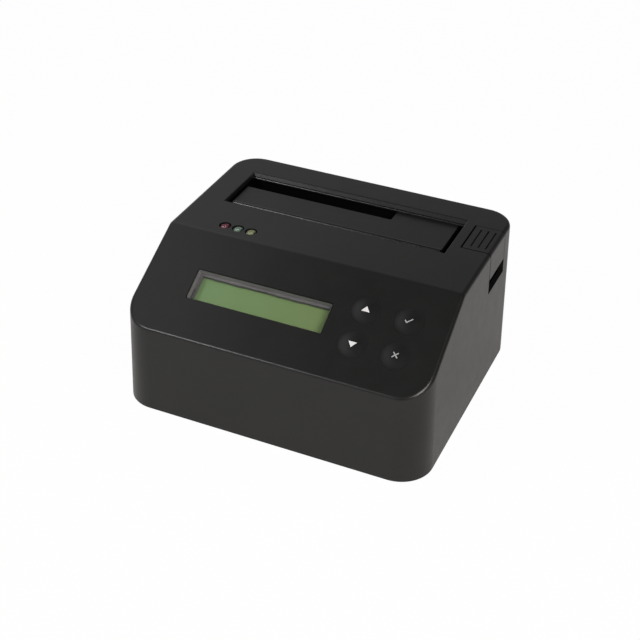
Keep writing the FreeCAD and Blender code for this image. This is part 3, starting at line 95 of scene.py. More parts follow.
# Lamps
LAMP_Y = -6.84
LAMP_X = {"red": -44.3, "green": -38.05, "yellow": -31.8}
LAMP_TINT = {"red": (0.2, 0.04, 0.07), "green": (0.2, 0.32, 0.25), "yellow": (0.32, 0.35, 0.18)}
LAMP_ALPHA = 0.6
LAMP_RADIUS = 2.4
LAMP_FLANGE = 2.8
LAMP_TOP = 67.38
LAMP_SHOULDER = 66.7
# Painted shade on the lamp lenses: between these distances off a lens's middle its tint darkens to the
# share below
LAMP_PAINTED_SHADE_SPAN = (1.1, 1.7)
LAMP_PAINTED_SHADE_SHARE = 0.1
LAMP_FOOT = 58.7
LAMP_FLANGE_TOP = 59.7
LAMP_STEPS = 8
LAMP_SIDES = 32

# Lead frame inside a lamp: a post beside a reflector cup on its stem
LEAD_FOOT = 59.4
LEAD_HALF = 0.3
POST_X = 0.8
POST_TOP = 66.7
CUP_X = -0.6
CUP_PROFILE = ((0, 64.6), (0.8, 64.8), (1.1, 66.5), (0.9, 66.5), (0.5, 65.4), (0, 65.4))
CUP_SIDES = 20
STEM_TOP = 64.9

# Drive opening; the facing on its rear wall runs between two (back, level) points
SLOT_X = (-54.6, 49.4)
SLOT_REAR = 41.96
LIP_LEVEL = 64.8
LIP_RADIUS = 0.8
LIP_SETBACK = 0.25
LIP_ROOT = 1.0
LIP_STEPS = 12
FACING_TOP = (0.48, 67.2)
FACING_FOOT = (-0.24, 65.87)

# Rounded front edge of the flap
FLAP_X = (-50.6, 47.0)
BEAD_Y = 14.55
BEAD_RADIUS = 1.15
BEAD_TOP = 67.38
BEAD_STEPS = 16
FLAP_TOP = 64.9

# Flap spring, on the hinge's axis; its legs end at (y, z) pairs
HINGE_Y = 10.86
HINGE_Z = 62.8
TORSION_X = -40.74
TORSION_RADIUS = 1.55
TORSION_WIRE = 0.3
TORSION_PITCH = 0.72
TORSION_TURNS = 4.25
TORSION_STEPS = 16
FLAP_LEG_END = (19.41, 62.54)
WALL_LEG_END = (8.72, 55.8)

# Eject spring
SPRING_X = 61.0
SPRING_Y = 26.56
SPRING_Z = (43.1, 65.1)
SPRING_RADIUS = 3.2
SPRING_WIRE = 0.35
SPRING_TURNS = 6
SPRING_STEPS = 12
SPRING_CLOSED = 0.08
WIRE_ROUNDING = 3

# Feet and cover screws
FOOT_X = 50.0
FOOT_Y = 44.07
FOOT_PROFILE = ((0, 0), (4.9, 0), (5.3, 0.08), (5.55, 0.3), (5.7, 0.6), (6.0, 1.2), (6.0, 2.2), (0, 2.2))
FOOT_SIDES = 40
SCREW_X = 59.4
SCREW_Y = 49.8
SCREW_HEAD = 2.3
SCREW_SHANK = 1.2
SCREW_LEVELS = (1.2, 2.6, 11.6)
SCREW_POINT = 1.0
SCREW_SIDES = 36
HEAD_CHAMFER = 0.25
RECESS_ARM = 1.3
RECESS_HALF = 0.28
RECESS_TAPER = 0.8
RECESS_DEPTH = 0.8

# Camera, from the photo's vanishing points
CAMERA_PLACE = Vector((186.1, -436.2, 349.6)) * MM
CAMERA_AZIMUTH = math.radians(23.278)
CAMERA_ELEVATION = math.radians(34.271)
CAMERA_ROLL = 0.0218
CAMERA_LENS = 72.7
SENSOR_WIDTH = 36.0
CAMERA_CLIP = 0.01

# Sky brightness from the horizon up, and its fade from left to right
SKY_LEVELS = ((0.0, 0.5), (0.3, 0.46), (0.45, 0.34), (0.6, 0.2), (0.95, 0.11))
SKY_FADE = ((0.25, 1.0), (0.4, 0.75), (0.55, 0.3), (1.0, 0.2))

# Share of plain white in the sky and the table, as the camera sees them and as the dock mirrors them
SKY_WHITE = (1.0, 0.03)
TABLE_WHITE = (0.98, 0.16)

# Table: its level in millimetres and its size in metres
TABLE_TINT = (0.85, 0.84, 0.83)
TABLE_LEVEL = -0.1
TABLE_SIZE = 6.0

# Tint of the light on the right
FILL_TINT = (1.01, 0.965, 0.93)


# Shader helpers
def add_node(tree, kind, **settings):
    """A shader node; a setting is an attribute of the node or else one of its inputs."""
    made = tree.nodes.new(kind)
    for name, value in settings.items():
        if hasattr(made, name):
            setattr(made, name, value)
        else:
            made.inputs[name.replace("_", " ")].default_value = value
    return made


def new_material(name):
    material = bpy.data.materials.new(name)
    material.use_nodes = True
    tree = material.node_tree
    return material, tree, tree.nodes["Principled BSDF"]


def object_noise(tree, scale, detail=3.0, stretch=(1, 1, 1)):
    """Noise over the object's own coordinates; the scale is in lumps per metre."""
    place = add_node(tree, "ShaderNodeTexCoord")
    turn = add_node(tree, "ShaderNodeMapping")
    turn.inputs["Scale"].default_value = stretch
    tree.links.new(place.outputs["Object"], turn.inputs["Vector"])
    noise = add_node(tree, "ShaderNodeTexNoise", Scale=scale, Detail=detail)
    tree.links.new(turn.outputs["Vector"], noise.inputs["Vector"])
    return noise.outputs["Fac"]


def colour_between(tree, shader, factor, first, second, low=0.3, high=0.7):
    """Lets the base colour follow a factor between two ends."""
    ramp = add_node(tree, "ShaderNodeValToRGB")
    ramp.color_ramp.elements[0].position = low
    ramp.color_ramp.elements[1].position = high
    ramp.color_ramp.elements[0].color = (*first, 1)
    ramp.color_ramp.elements[1].color = (*second, 1)
    tree.links.new(factor, ramp.inputs["Fac"])
    tree.links.new(ramp.outputs["Color"], shader.inputs["Base Color"])


def roughness_between(tree, shader, factor, low, high):
    stretch = add_node(tree, "ShaderNodeMapRange")
    stretch.inputs["To Min"].default_value = low
    stretch.inputs["To Max"].default_value = high
    tree.links.new(factor, stretch.inputs["Value"])
    tree.links.new(stretch.outputs["Result"], shader.inputs["Roughness"])


def add_bump(tree, shader, height, strength, depth):
    bump = add_node(tree, "ShaderNodeBump", Strength=strength, Distance=depth * MM)
    tree.links.new(height, bump.inputs["Height"])
    tree.links.new(bump.outputs["Normal"], shader.inputs["Normal"])


def shade(tint, share):
    return [channel * share for channel in tint]


# Materials
def moulded_plastic(name, tint, rough, grain=5200, depth=0.012, specular=0.45):
    """Moulded plastic with a fine spark grain, cloudy colour and uneven sheen."""
    material, tree, shader = new_material(name)
    clouds = object_noise(tree, scale=60, detail=4)
    colour_between(tree, shader, clouds, shade(tint, 0.88), shade(tint, 1.12))
    sheen = object_noise(tree, scale=180, detail=5)
    roughness_between(tree, shader, sheen, rough - 0.05, rough + 0.05)
    sparks = object_noise(tree, scale=grain, detail=2)
    add_bump(tree, shader, sparks, strength=0.25, depth=depth)
    shader.inputs["Specular IOR Level"].default_value = specular
    return material


def metal(name, tint, rough, scale=900, stretch=(1, 1, 1)):
    """Plated or drawn metal with faint streaks."""
    material, tree, shader = new_material(name)
    streaks = object_noise(tree, scale, detail=4, stretch=stretch)
    colour_between(tree, shader, streaks, shade(tint, 0.8), tint)
    roughness_between(tree, shader, streaks, rough - 0.06, rough + 0.1)
    shader.inputs["Metallic"].default_value = 1.0
    return material


def solder_mask(name):
    """Green board lacquer over faint copper tracks."""
    material, tree, shader = new_material(name)
    place = add_node(tree, "ShaderNodeTexCoord")
    tracks = add_node(tree, "ShaderNodeTexBrick", Scale=220.0, Mortar_Size=0.03)
    tree.links.new(place.outputs["Object"], tracks.inputs["Vector"])
    bare = (0.008, 0.06, 0.022)
    copper = (0.02, 0.12, 0.04)
    colour_between(tree, shader, tracks.outputs["Fac"], bare, copper, low=0.1, high=0.9)
    sheen = object_noise(tree, scale=400, detail=3)
    roughness_between(tree, shader, sheen, low=0.3, high=0.42)
    add_bump(tree, shader, tracks.outputs["Fac"], strength=0.3, depth=0.03)
    return material


def clear_sheet(name):
    """Clear window with a trace of grey and fine rub marks."""
    material, tree, shader = new_material(name)
    marks = object_noise(tree, scale=700, detail=6, stretch=(1, 6, 1))
    colour_between(tree, shader, marks, (0.03, 0.035, 0.03), (0.05, 0.055, 0.05))
    roughness_between(tree, shader, marks, low=0.03, high=0.09)
    shader.inputs["Alpha"].default_value = WINDOW_ALPHA
    return material


def display_green(name):
    """Unlit green display with painted shade that darkens it towards the right, and faint character cells.
    """
    material, tree, shader = new_material(name)
    place = add_node(tree, "ShaderNodeTexCoord")
    cells = add_node(tree, "ShaderNodeTexBrick", Scale=165.0, Mortar_Size=0.06, offset=0.0)
    tree.links.new(place.outputs["Object"], cells.inputs["Vector"])
    split = add_node(tree, "ShaderNodeSeparateXYZ")
    tree.links.new(place.outputs["Object"], split.inputs["Vector"])
    shade_across = add_node(tree, "ShaderNodeMapRange")
    shade_across.inputs["From Min"].default_value = DISPLAY_SHADE_X[0] * MM
    shade_across.inputs["From Max"].default_value = DISPLAY_SHADE_X[1] * MM
    tree.links.new(split.outputs["X"], shade_across.inputs["Value"])
    blend = add_node(tree, "ShaderNodeMath", operation="MULTIPLY_ADD")
    blend.inputs[1].default_value = CELL_SHARE
    tree.links.new(cells.outputs["Fac"], blend.inputs[0])
    tree.links.new(shade_across.outputs["Result"], blend.inputs[2])
    # Painted shade: the green on the right is a darker copy of the green on the left
    unshaded_green = (0.26, 0.425, 0.19)
    painted_shade_green = (0.25, 0.36, 0.145)
    colour_between(tree, shader, blend.outputs["Value"], unshaded_green, painted_shade_green, low=0.0, high=1.0)
    sheen = object_noise(tree, scale=300, detail=3)
    roughness_between(tree, shader, sheen, low=0.25, high=0.35)
    shader.inputs["Specular IOR Level"].default_value = 0.2
    return material


def tinted_lens(name, tint, centre):
    """Tinted lamp lens with painted shade at its sides, so that only its middle keeps the full tint; its
    cup shows through the lens.
    """
    material, tree, shader = new_material(name)
    place = add_node(tree, "ShaderNodeTexCoord")
    split = add_node(tree, "ShaderNodeSeparateXYZ")
    tree.links.new(place.outputs["Object"], split.inputs["Vector"])
    across = add_node(tree, "ShaderNodeMath", operation="SUBTRACT")
    across.inputs[1].default_value = centre * MM
    tree.links.new(split.outputs["X"], across.inputs[0])
    away = add_node(tree, "ShaderNodeMath", operation="ABSOLUTE")
    tree.links.new(across.outputs["Value"], away.inputs[0])
    side = add_node(tree, "ShaderNodeMapRange")
    side.inputs["From Min"].default_value = LAMP_PAINTED_SHADE_SPAN[0] * MM
    side.inputs["From Max"].default_value = LAMP_PAINTED_SHADE_SPAN[1] * MM
    tree.links.new(away.outputs["Value"], side.inputs["Value"])
    # Painted shade: the lens's sides darken to a share of its tint
    painted_shade = shade(tint, LAMP_PAINTED_SHADE_SHARE)
    colour_between(tree, shader, side.outputs["Result"], tint, painted_shade, low=0.0, high=1.0)
    sheen = object_noise(tree, scale=600, detail=3)
    roughness_between(tree, shader, sheen, low=0.08, high=0.16)
    shader.inputs["Alpha"].default_value = LAMP_ALPHA
    return material


def printed_ink(name, tint):
    """Pad printed ink with slightly uneven cover."""
    material, tree, shader = new_material(name)
    cover = object_noise(tree, scale=2500, detail=3)
    colour_between(tree, shader, cover, shade(tint, 0.92), tint)
    roughness_between(tree, shader, cover, low=0.45, high=0.6)
    shader.inputs["Specular IOR Level"].default_value = 0.3
    return material


# Mesh helpers
def panel_matrix(x, v):
    """Turns millimetres along, up and out of the sloping panel into metres in the shared frame."""
    turn = Matrix.Rotation(PANEL_TILT, 4, "X")
    return Matrix.Translation(PANEL_EDGE) @ turn @ Matrix.Scale(MM, 4) @ Matrix.Translation((x, v, 0))


def upright_matrix(x, y, z=0.0):
    return Matrix.Scale(MM, 4) @ Matrix.Translation((x, y, z))


def add_piece(name, form, matrix, materials, body, stands_for=(), crease=40):
    """Makes an object of a bmesh, in place, riding on a body."""
    bmesh.ops.recalc_face_normals(form, faces=form.faces)
    form.transform(matrix)
    mesh = bpy.data.meshes.new(name)
    form.to_mesh(mesh)
    form.free()
    for face in mesh.polygons:
        face.use_smooth = True
    mesh.set_sharp_from_angle(angle=math.radians(crease))
    for material in materials:
        mesh.materials.append(material)
    piece = bpy.data.objects.new(name, mesh)
    bpy.context.scene.collection.objects.link(piece)
    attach(piece, body)
    if stands_for:
        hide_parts(*stands_for)
    return piece


def lathe(form, profile, sides=48, centre=(0, 0)):
    """Turns a profile of (radius, height) pairs about the vertical; a radius of 0 closes an end."""
    rings = []
    for radius, height in profile:
        if radius == 0:
            rings.append([form.verts.new((centre[0], centre[1], height))])
            continue
        ring = []
        for index in range(sides):
            turn = 2 * math.pi * index / sides
            ring.append(form.verts.new((centre[0] + radius * math.cos(turn),
                                        centre[1] + radius * math.sin(turn), height)))
        rings.append(ring)
    for low, high in zip(rings, rings[1:]):
        for index in range(sides):
            following = (index + 1) % sides
            corners = [low[index % len(low)], low[following % len(low)],
                       high[following % len(high)], high[index % len(high)]]
            form.faces.new(list(dict.fromkeys(corners)))


def rounded_rectangle(size, radius, centre, steps=6):
    points = []
    for sx, sy, start in ((1, 1, 0), (-1, 1, 90), (-1, -1, 180), (1, -1, 270)):
        for step in range(steps + 1):
            turn = math.radians(start + 90 * step / steps)
            points.append((centre[0] + sx * (size[0] / 2 - radius) + radius * math.cos(turn),
                           centre[1] + sy * (size[1] / 2 - radius) + radius * math.sin(turn)))
    return points


def slab(form, outline, low, high, side_index=0):
    """Closes an outline between two levels; the sides may take another material."""
    bottom = [form.verts.new((x, y, low)) for x, y in outline]
    top = [form.verts.new((x, y, high)) for x, y in outline]
    form.faces.new(bottom)
    form.faces.new(top)
    for index in range(len(outline)):
        side = form.faces.new([bottom[index - 1], bottom[index], top[index], top[index - 1]])
        side.material_index = side_index


def prism(form, profile, reach):
    """Draws a profile of (y, z) pairs out along X."""
    ends = []
    for x in reach:
        ring = [form.verts.new((x, y, z)) for y, z in profile]
        form.faces.new(ring)
        ends.append(ring)
    for index in range(len(profile)):
        form.faces.new([ends[0][index - 1], ends[0][index], ends[1][index], ends[1][index - 1]])


def block(form, low, high):
    corners = [(low[0], low[1]), (high[0], low[1]), (high[0], high[1]), (low[0], high[1])]
    slab(form, corners, low[2], high[2])


def rectangle(size, centre, steps=1, wave=0.0):
    """Points round a rectangle, some steps to a side; a wave moves those between the corners in and out."""
    corners = ((1, 1), (-1, 1), (-1, -1), (1, -1))
    points = []
    for side in range(4):
        first = Vector(corners[side])
        last = Vector(corners[(side + 1) % 4])
        outward = (first + last) / 2
        for step in range(steps):
            place = first.lerp(last, step / steps)
            ripple = sum(math.sin(rate * len(points)) for rate in GASKET_RIPPLES)
            shift = outward * wave * ripple / 2 if step else Vector((0, 0))
            points.append((centre[0] + place.x * size[0] / 2 + shift.x,
                           centre[1] + place.y * size[1] / 2 + shift.y))
    return points


def flat_frame(form, outer, inner, levels):
    """A flat frame between an outer and an inner loop of as many points, between two levels."""
    loops = []
    for level in levels:
        for loop in (outer, inner):
            loops.append([form.verts.new((x, y, level)) for x, y in loop])
    low_out, low_in, high_out, high_in = loops
    for first, second in ((low_out, low_in), (low_in, high_in), (high_in, high_out), (high_out, low_out)):
        for index in range(len(outer)):
            form.faces.new([first[index - 1], first[index], second[index], second[index - 1]])


# Keys
def dome_height(radius):
    return KEY_RISE * (1 - (radius / KEY_RADIUS) ** 2) ** 2


def key_place(name):
    side, row = KEYS[name]
    return panel_matrix(KEY_CENTRE + side * KEY_STEP_X, PANEL_MIDDLE + row * KEY_STEP_V)


def key_dome(name, material):
    """Soft domed key with its hidden retaining flange."""
    form = bmesh.new()
    profile = [(0, KEY_FOOT), (KEY_FLANGE, KEY_FOOT), (KEY_FLANGE, KEY_SHOULDER),
               (KEY_RADIUS, KEY_SHOULDER)]
    for ring in range(KEY_RINGS + 1):
        radius = KEY_RADIUS * math.cos(math.pi / 2 * ring / KEY_RINGS)
        if ring == KEY_RINGS:
            radius = 0
        profile.append((radius, dome_height(radius)))
    lathe(form, profile, KEY_SIDES)
    node = "key_" + name
    add_piece("key_dome_" + name, form, key_place(name), [material], node, [node])


def key_legend(name, outlines, material):
    """Printed shapes laid over a key's dome."""
    form = bmesh.new()
    for outline in outlines:
        form.faces.new([form.verts.new((x, y, 0)) for x, y in outline])
    bmesh.ops.triangulate(form, faces=form.faces[:])
    bmesh.ops.subdivide_edges(form, edges=form.edges[:], cuts=LEGEND_CUTS, use_grid_fill=True)
    for vertex in form.verts:
        vertex.co.z = dome_height(math.hypot(vertex.co.x, vertex.co.y)) + LEGEND_LIFT
    add_piece("legend_" + name, form, key_place(name), [material], "key_" + name)


def turned_points(points, angle):
    cosine = math.cos(angle)
    sine = math.sin(angle)
    return [(x * cosine - y * sine, x * sine + y * cosine) for x, y in points]


def arrow(angle):
    tip = ARROW_LENGTH * 2 / 3
    back = -ARROW_LENGTH / 3
    return turned_points([(tip, 0), (back, ARROW_BREADTH / 2), (back, -ARROW_BREADTH / 2)], angle)


def stroke(start, end):
    """A straight pen stroke as four corners."""
    along = Vector(end) - Vector(start)
    across = Vector((-along.y, along.x)).normalized() * STROKE / 2
    first = Vector(start)
    last = Vector(end)
    return [tuple(first + across), tuple(first - across), tuple(last - across), tuple(last + across)]


def keys():
    soft = moulded_plastic("key_rubber", (0.009, 0.009, 0.009), rough=0.31, grain=4200, depth=0.01)
    white = printed_ink("white_ink", (0.84, 0.84, 0.84))
    grey = printed_ink("grey_ink", (0.42, 0.42, 0.42))
    for name in KEYS:
        key_dome(name, soft)
    key_legend("left", [arrow(UPWARD)], white)
    key_legend("right", [arrow(-UPWARD)], white)
    key_legend("confirm", [stroke(*ends) for ends in TICK], grey)
    key_legend("cancel", [stroke(*ends) for ends in CROSS], grey)


# Display
def window():
    """Clear window with a flange; its edges are dull, as sawn or moulded edges are."""
    form = bmesh.new()
    centre = (WINDOW_CENTRE, PANEL_MIDDLE)
    slab(form, rounded_rectangle(WINDOW_SIZE, WINDOW_CORNER, centre), *WINDOW_LEVELS, side_index=1)
    clear = clear_sheet("window_clear")
    edge = moulded_plastic("window_edge", (0.25, 0.24, 0.25), rough=0.5, grain=1500)
    add_piece("window_plug", form, panel_matrix(0, 0), [clear, edge], "base", ["display_window"])
    outer = [size + 2 * WINDOW_FLANGE for size in WINDOW_SIZE]
    ring = bmesh.new()
    inner = rectangle([size + FLANGE_PLAY for size in WINDOW_SIZE], centre)
    flat_frame(ring, rectangle(outer, centre), inner, (WINDOW_LEVELS[0], FLANGE_LEVEL))
    add_piece("window_flange", ring, panel_matrix(0, 0), [edge], "base")


def gasket(material):
    """Foam frame under the window, its inner edge cut a little unevenly."""
    centre = (WINDOW_CENTRE, PANEL_MIDDLE)
    view = [size - 2 * GASKET_MARGIN for size in WINDOW_SIZE]
    inner = rectangle(view, centre, GASKET_STEPS, GASKET_WAVE)
    form = bmesh.new()
    flat_frame(form, rectangle(GASKET_SIZE, centre, GASKET_STEPS), inner, GASKET_LEVELS)
    add_piece("foam_gasket", form, panel_matrix(0, 0), [material], "base", ["display_gasket"])


# Lamps
def lamp(name):
    """Domed lamp lens with its hidden flange."""
    form = bmesh.new()
    profile = [(0, LAMP_FOOT), (LAMP_FLANGE, LAMP_FOOT), (LAMP_FLANGE, LAMP_FLANGE_TOP),
               (LAMP_RADIUS, LAMP_FLANGE_TOP), (LAMP_RADIUS, LAMP_SHOULDER)]
    for step in range(1, LAMP_STEPS + 1):
        turn = math.pi / 2 * step / LAMP_STEPS
        radius = LAMP_RADIUS * math.cos(turn)
        if step == LAMP_STEPS:
            radius = 0
        profile.append((radius, LAMP_SHOULDER + (LAMP_TOP - LAMP_SHOULDER) * math.sin(turn)))
    lathe(form, profile, LAMP_SIDES)
    lens = tinted_lens("lens_" + name, LAMP_TINT[name], LAMP_X[name])
    place = upright_matrix(LAMP_X[name], LAMP_Y)
    add_piece("lamp_lens_" + name, form, place, [lens], "base", ["lamp_" + name])


def lead(form, x, top):
    """Square wire upright inside a lamp."""
    low = (x - LEAD_HALF, LAMP_Y - LEAD_HALF, LEAD_FOOT)
    high = (x + LEAD_HALF, LAMP_Y + LEAD_HALF, top)
    block(form, low, high)


def lamp_leads(bright):
    """Post and reflector cup inside each lamp."""
    form = bmesh.new()
    for x in LAMP_X.values():
        lead(form, x + POST_X, POST_TOP)
        lathe(form, CUP_PROFILE, CUP_SIDES, (x + CUP_X, LAMP_Y))
        lead(form, x + CUP_X, STEM_TOP)
    add_piece("lamp_leads", form, upright_matrix(0, 0), [bright], "base")


def lamps(bright):
    for name in LAMP_X:
        lamp(name)
    lamp_leads(bright)


# Drive opening
def opening_lip(material):
    """Slanted facing on the opening's rear wall, with a slim bead along its lower edge."""
    profile = [(SLOT_REAR + back, level) for back, level in (FACING_TOP, FACING_FOOT)]
    for step in range(LIP_STEPS + 1):
        turn = math.pi / 2 + math.pi * step / LIP_STEPS
        profile.append((SLOT_REAR + LIP_SETBACK + LIP_RADIUS * math.cos(turn),
                        LIP_LEVEL + LIP_RADIUS * math.sin(turn)))
    for level in (LIP_LEVEL - LIP_RADIUS, FACING_TOP[1]):
        profile.append((SLOT_REAR + LIP_ROOT, level))
    form = bmesh.new()
    prism(form, profile, SLOT_X)
    add_piece("opening_lip", form, upright_matrix(0, 0), [material], "base")


def flap_bead(material):
    """Rounded ridge along the flap's front edge, level with the deck."""
    middle = BEAD_TOP - BEAD_RADIUS
    profile = [(BEAD_Y + BEAD_RADIUS, FLAP_TOP)]
    for step in range(BEAD_STEPS + 1):
        turn = math.pi * step / BEAD_STEPS
        profile.append((BEAD_Y + BEAD_RADIUS * math.cos(turn), middle + BEAD_RADIUS * math.sin(turn)))
    profile.append((BEAD_Y - BEAD_RADIUS, FLAP_TOP))
    form = bmesh.new()
    prism(form, profile, FLAP_X)
    add_piece("flap_front_edge", form, upright_matrix(0, 0), [material], "flap")


# Springs, feet and screws
def wire(name, points, thickness, material, body):
    """Round spring wire along a smooth line of points, riding on a body."""
    curve = bpy.data.curves.new(name, "CURVE")
    curve.dimensions = "3D"
    curve.bevel_depth = thickness * MM
    curve.bevel_resolution = WIRE_ROUNDING
    curve.use_fill_caps = True
    line = curve.splines.new("NURBS")
    line.points.add(len(points) - 1)
    for place, point in zip(line.points, points):
        place.co = (*(Vector(point) * MM), 1)
    line.order_u = 3
    line.use_endpoint_u = True
    shape = bpy.data.objects.new(name + "_line", curve)
    bpy.context.scene.collection.objects.link(shape)
    bpy.context.view_layer.update()
    mesh = bpy.data.meshes.new_from_object(shape.evaluated_get(bpy.context.evaluated_depsgraph_get()))
    bpy.data.objects.remove(shape)
    mesh.materials.clear()
    mesh.materials.append(material)
    piece = bpy.data.objects.new(name, mesh)
    bpy.context.scene.collection.objects.link(piece)
    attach(piece, body)
    return piece


def torsion_turns(start, turns, pitch):
    """Points of a coil about the hinge's axis, from its underside on."""
    points = []
    for index in range(round(turns * TORSION_STEPS) + 1):
        share = index / TORSION_STEPS
        turn = -math.pi / 2 - 2 * math.pi * share
        points.append((start + pitch * share, HINGE_Y + TORSION_RADIUS * math.cos(turn),
                       HINGE_Z + TORSION_RADIUS * math.sin(turn)))
    return points


def flap_spring(material):
    """Torsion spring on the hinge pin; its first turn and the leg under the flap turn with the flap."""
    coil_line = torsion_turns(TORSION_X, TORSION_TURNS, TORSION_PITCH)
    coil_line.append((coil_line[-1][0], *WALL_LEG_END))
    coil = wire("flap_coil_spring", coil_line, TORSION_WIRE, material, "base")
    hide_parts("flap_spring")
    first_x = TORSION_X - TORSION_PITCH
    leg_line = [(first_x, *FLAP_LEG_END)] + torsion_turns(first_x, 1, 0.0)
    wire("flap_spring_leg", leg_line, TORSION_WIRE, material, "flap")


def eject_spring(material):
    """Round wire compression spring with closed ends."""
    low = SPRING_Z[0] + SPRING_WIRE
    high = SPRING_Z[1] - SPRING_WIRE
    steps = SPRING_TURNS * SPRING_STEPS
    points = []
    for index in range(steps + 1):
        turn = 2 * math.pi * index / SPRING_STEPS
        share = (index / steps - SPRING_CLOSED) / (1 - 2 * SPRING_CLOSED)
        level = low + (high - low) * min(max(share, 0.0), 1.0)
        x = SPRING_X + SPRING_RADIUS * math.cos(turn)
        y = SPRING_Y + SPRING_RADIUS * math.sin(turn)
        points.append((x, y, level))
    piece = wire("eject_coil_spring", points, SPRING_WIRE, material, "base")
    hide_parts("eject_spring")
    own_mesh(piece)


def feet(material):
    """Round rubber feet with a softened edge on the table."""
    form = bmesh.new()
    for sx in (-1, 1):
        for sy in (-1, 1):
            lathe(form, FOOT_PROFILE, FOOT_SIDES, (sx * FOOT_X, sy * FOOT_Y))
    add_piece("round_feet", form, upright_matrix(0, 0), [material], "base", ["rubber_feet"])


def cross_screw(form, x, y):
    """Pan screw, head down, with a cross recess."""
    foot, seat, tip = SCREW_LEVELS
    arm = RECESS_ARM
    half = RECESS_HALF
    cross = [(half, half), (half, arm), (-half, arm), (-half, half), (-arm, half), (-arm, -half),
             (-half, -half), (-half, -arm), (half, -arm), (half, -half), (arm, -half), (arm, half)]
    rim = [form.verts.new((x + dx, y + dy, foot)) for dx, dy in cross]
    floor_ring = []
    for dx, dy in cross:
        corner = (x + dx * RECESS_TAPER, y + dy * RECESS_TAPER, foot + RECESS_DEPTH)
        floor_ring.append(form.verts.new(corner))
    form.faces.new(floor_ring)
    for index in range(len(cross)):
        form.faces.new([rim[index - 1], rim[index], floor_ring[index], floor_ring[index - 1]])
    face_radius = SCREW_HEAD - HEAD_CHAMFER
    circle = []
    for index in range(SCREW_SIDES):
        turn = 2 * math.pi * (index + 0.5) / SCREW_SIDES
        place = (x + face_radius * math.cos(turn), y + face_radius * math.sin(turn), foot)
        circle.append(form.verts.new(place))
    edges = []
    for ring in (rim, circle):
        for index in range(len(ring)):
            edge = form.edges.get((ring[index - 1], ring[index]))
            edges.append(edge or form.edges.new((ring[index - 1], ring[index])))
    bmesh.ops.triangle_fill(form, edges=edges, use_beauty=True)
    profile = [(face_radius, foot), (SCREW_HEAD, foot + HEAD_CHAMFER), (SCREW_HEAD, seat),
               (SCREW_SHANK, seat), (SCREW_SHANK, tip - SCREW_POINT), (0, tip)]
    lathe(form, profile, SCREW_SIDES, (x, y))


def cover_screws(material):
    form = bmesh.new()
    for sx in (-1, 1):
        for sy in (-1, 1):
            cross_screw(form, sx * SCREW_X, sy * SCREW_Y)
    add_piece("cross_screws", form, upright_matrix(0, 0), [material], "base",
              ["cover_screws"])


# Stage
def level_ramp(tree, factor, levels):
    """Brightness along one direction of the sky, as (position, level) pairs."""
    ramp = add_node(tree, "ShaderNodeValToRGB")
    for position, _ in levels[1:-1]:
        ramp.color_ramp.elements.new(position)
    for element, (position, level) in zip(ramp.color_ramp.elements, levels):
        element.position = position
        element.color = (level, level, level, 1)
    tree.links.new(factor, ramp.inputs["Fac"])
    return ramp.outputs["Color"]


def white_share(tree, seen, mirrored):
    """How far a ray sees plain white: a camera ray, or a mirrored or transmitted one."""
    path = add_node(tree, "ShaderNodeLightPath")
    either = add_node(tree, "ShaderNodeMath", operation="MAXIMUM")
    tree.links.new(path.outputs["Is Glossy Ray"], either.inputs[0])
    tree.links.new(path.outputs["Is Transmission Ray"], either.inputs[1])
    fainter = add_node(tree, "ShaderNodeMath", operation="MULTIPLY")
    fainter.inputs[1].default_value = mirrored
    tree.links.new(either.outputs["Value"], fainter.inputs[0])
    share = add_node(tree, "ShaderNodeMath", operation="MULTIPLY_ADD")
    share.inputs[1].default_value = seen
    tree.links.new(path.outputs["Is Camera Ray"], share.inputs[0])
    tree.links.new(fainter.outputs["Value"], share.inputs[2])
    return share.outputs["Value"]


def world_light():
    """White behind the dock; for light, a pale horizon under a dim ceiling, darker on the right."""
    world = bpy.data.worlds.new("studio")
    bpy.context.scene.world = world
    world.use_nodes = True
    tree = world.node_tree
    tree.nodes.clear()
    output = add_node(tree, "ShaderNodeOutputWorld")
    place = add_node(tree, "ShaderNodeTexCoord")
    split = add_node(tree, "ShaderNodeSeparateXYZ")
    tree.links.new(place.outputs["Generated"], split.inputs["Vector"])
    rise = level_ramp(tree, split.outputs["Z"], SKY_LEVELS)
    across = add_node(tree, "ShaderNodeMapRange")
    across.inputs["From Min"].default_value = -1.0
    tree.links.new(split.outputs["X"], across.inputs["Value"])
    fade = level_ramp(tree, across.outputs["Result"], SKY_FADE)
    sky = add_node(tree, "ShaderNodeBackground")
    tree.links.new(rise, sky.inputs["Color"])
    tree.links.new(fade, sky.inputs["Strength"])
    white = add_node(tree, "ShaderNodeBackground", Strength=1.0)
    white.inputs["Color"].default_value = (1, 1, 1, 1)
    mix = add_node(tree, "ShaderNodeMixShader")
    tree.links.new(white_share(tree, *SKY_WHITE), mix.inputs["Fac"])
    tree.links.new(sky.outputs["Background"], mix.inputs[1])
    tree.links.new(white.outputs["Background"], mix.inputs[2])
    tree.links.new(mix.outputs["Shader"], output.inputs["Surface"])


def table():
    """White table that keeps a faint shadow."""
    bpy.ops.mesh.primitive_plane_add(size=TABLE_SIZE, location=(0, 0, TABLE_LEVEL * MM))
    top = bpy.context.object
    top.name = "table"
    material = bpy.data.materials.new("white_table")
    material.use_nodes = True
    tree = material.node_tree
    tree.nodes.clear()
    output = add_node(tree, "ShaderNodeOutputMaterial")
    diffuse = add_node(tree, "ShaderNodeBsdfDiffuse")
    diffuse.inputs["Color"].default_value = (*TABLE_TINT, 1)
    glow = add_node(tree, "ShaderNodeEmission", Strength=1.0)
    glow.inputs["Color"].default_value = (1, 1, 1, 1)
    mix = add_node(tree, "ShaderNodeMixShader")
    tree.links.new(white_share(tree, *TABLE_WHITE), mix.inputs["Fac"])
    tree.links.new(diffuse.outputs["BSDF"], mix.inputs[1])
    tree.links.new(glow.outputs["Emission"], mix.inputs[2])
    tree.links.new(mix.outputs["Shader"], output.inputs["Surface"])
    top.data.materials.append(material)


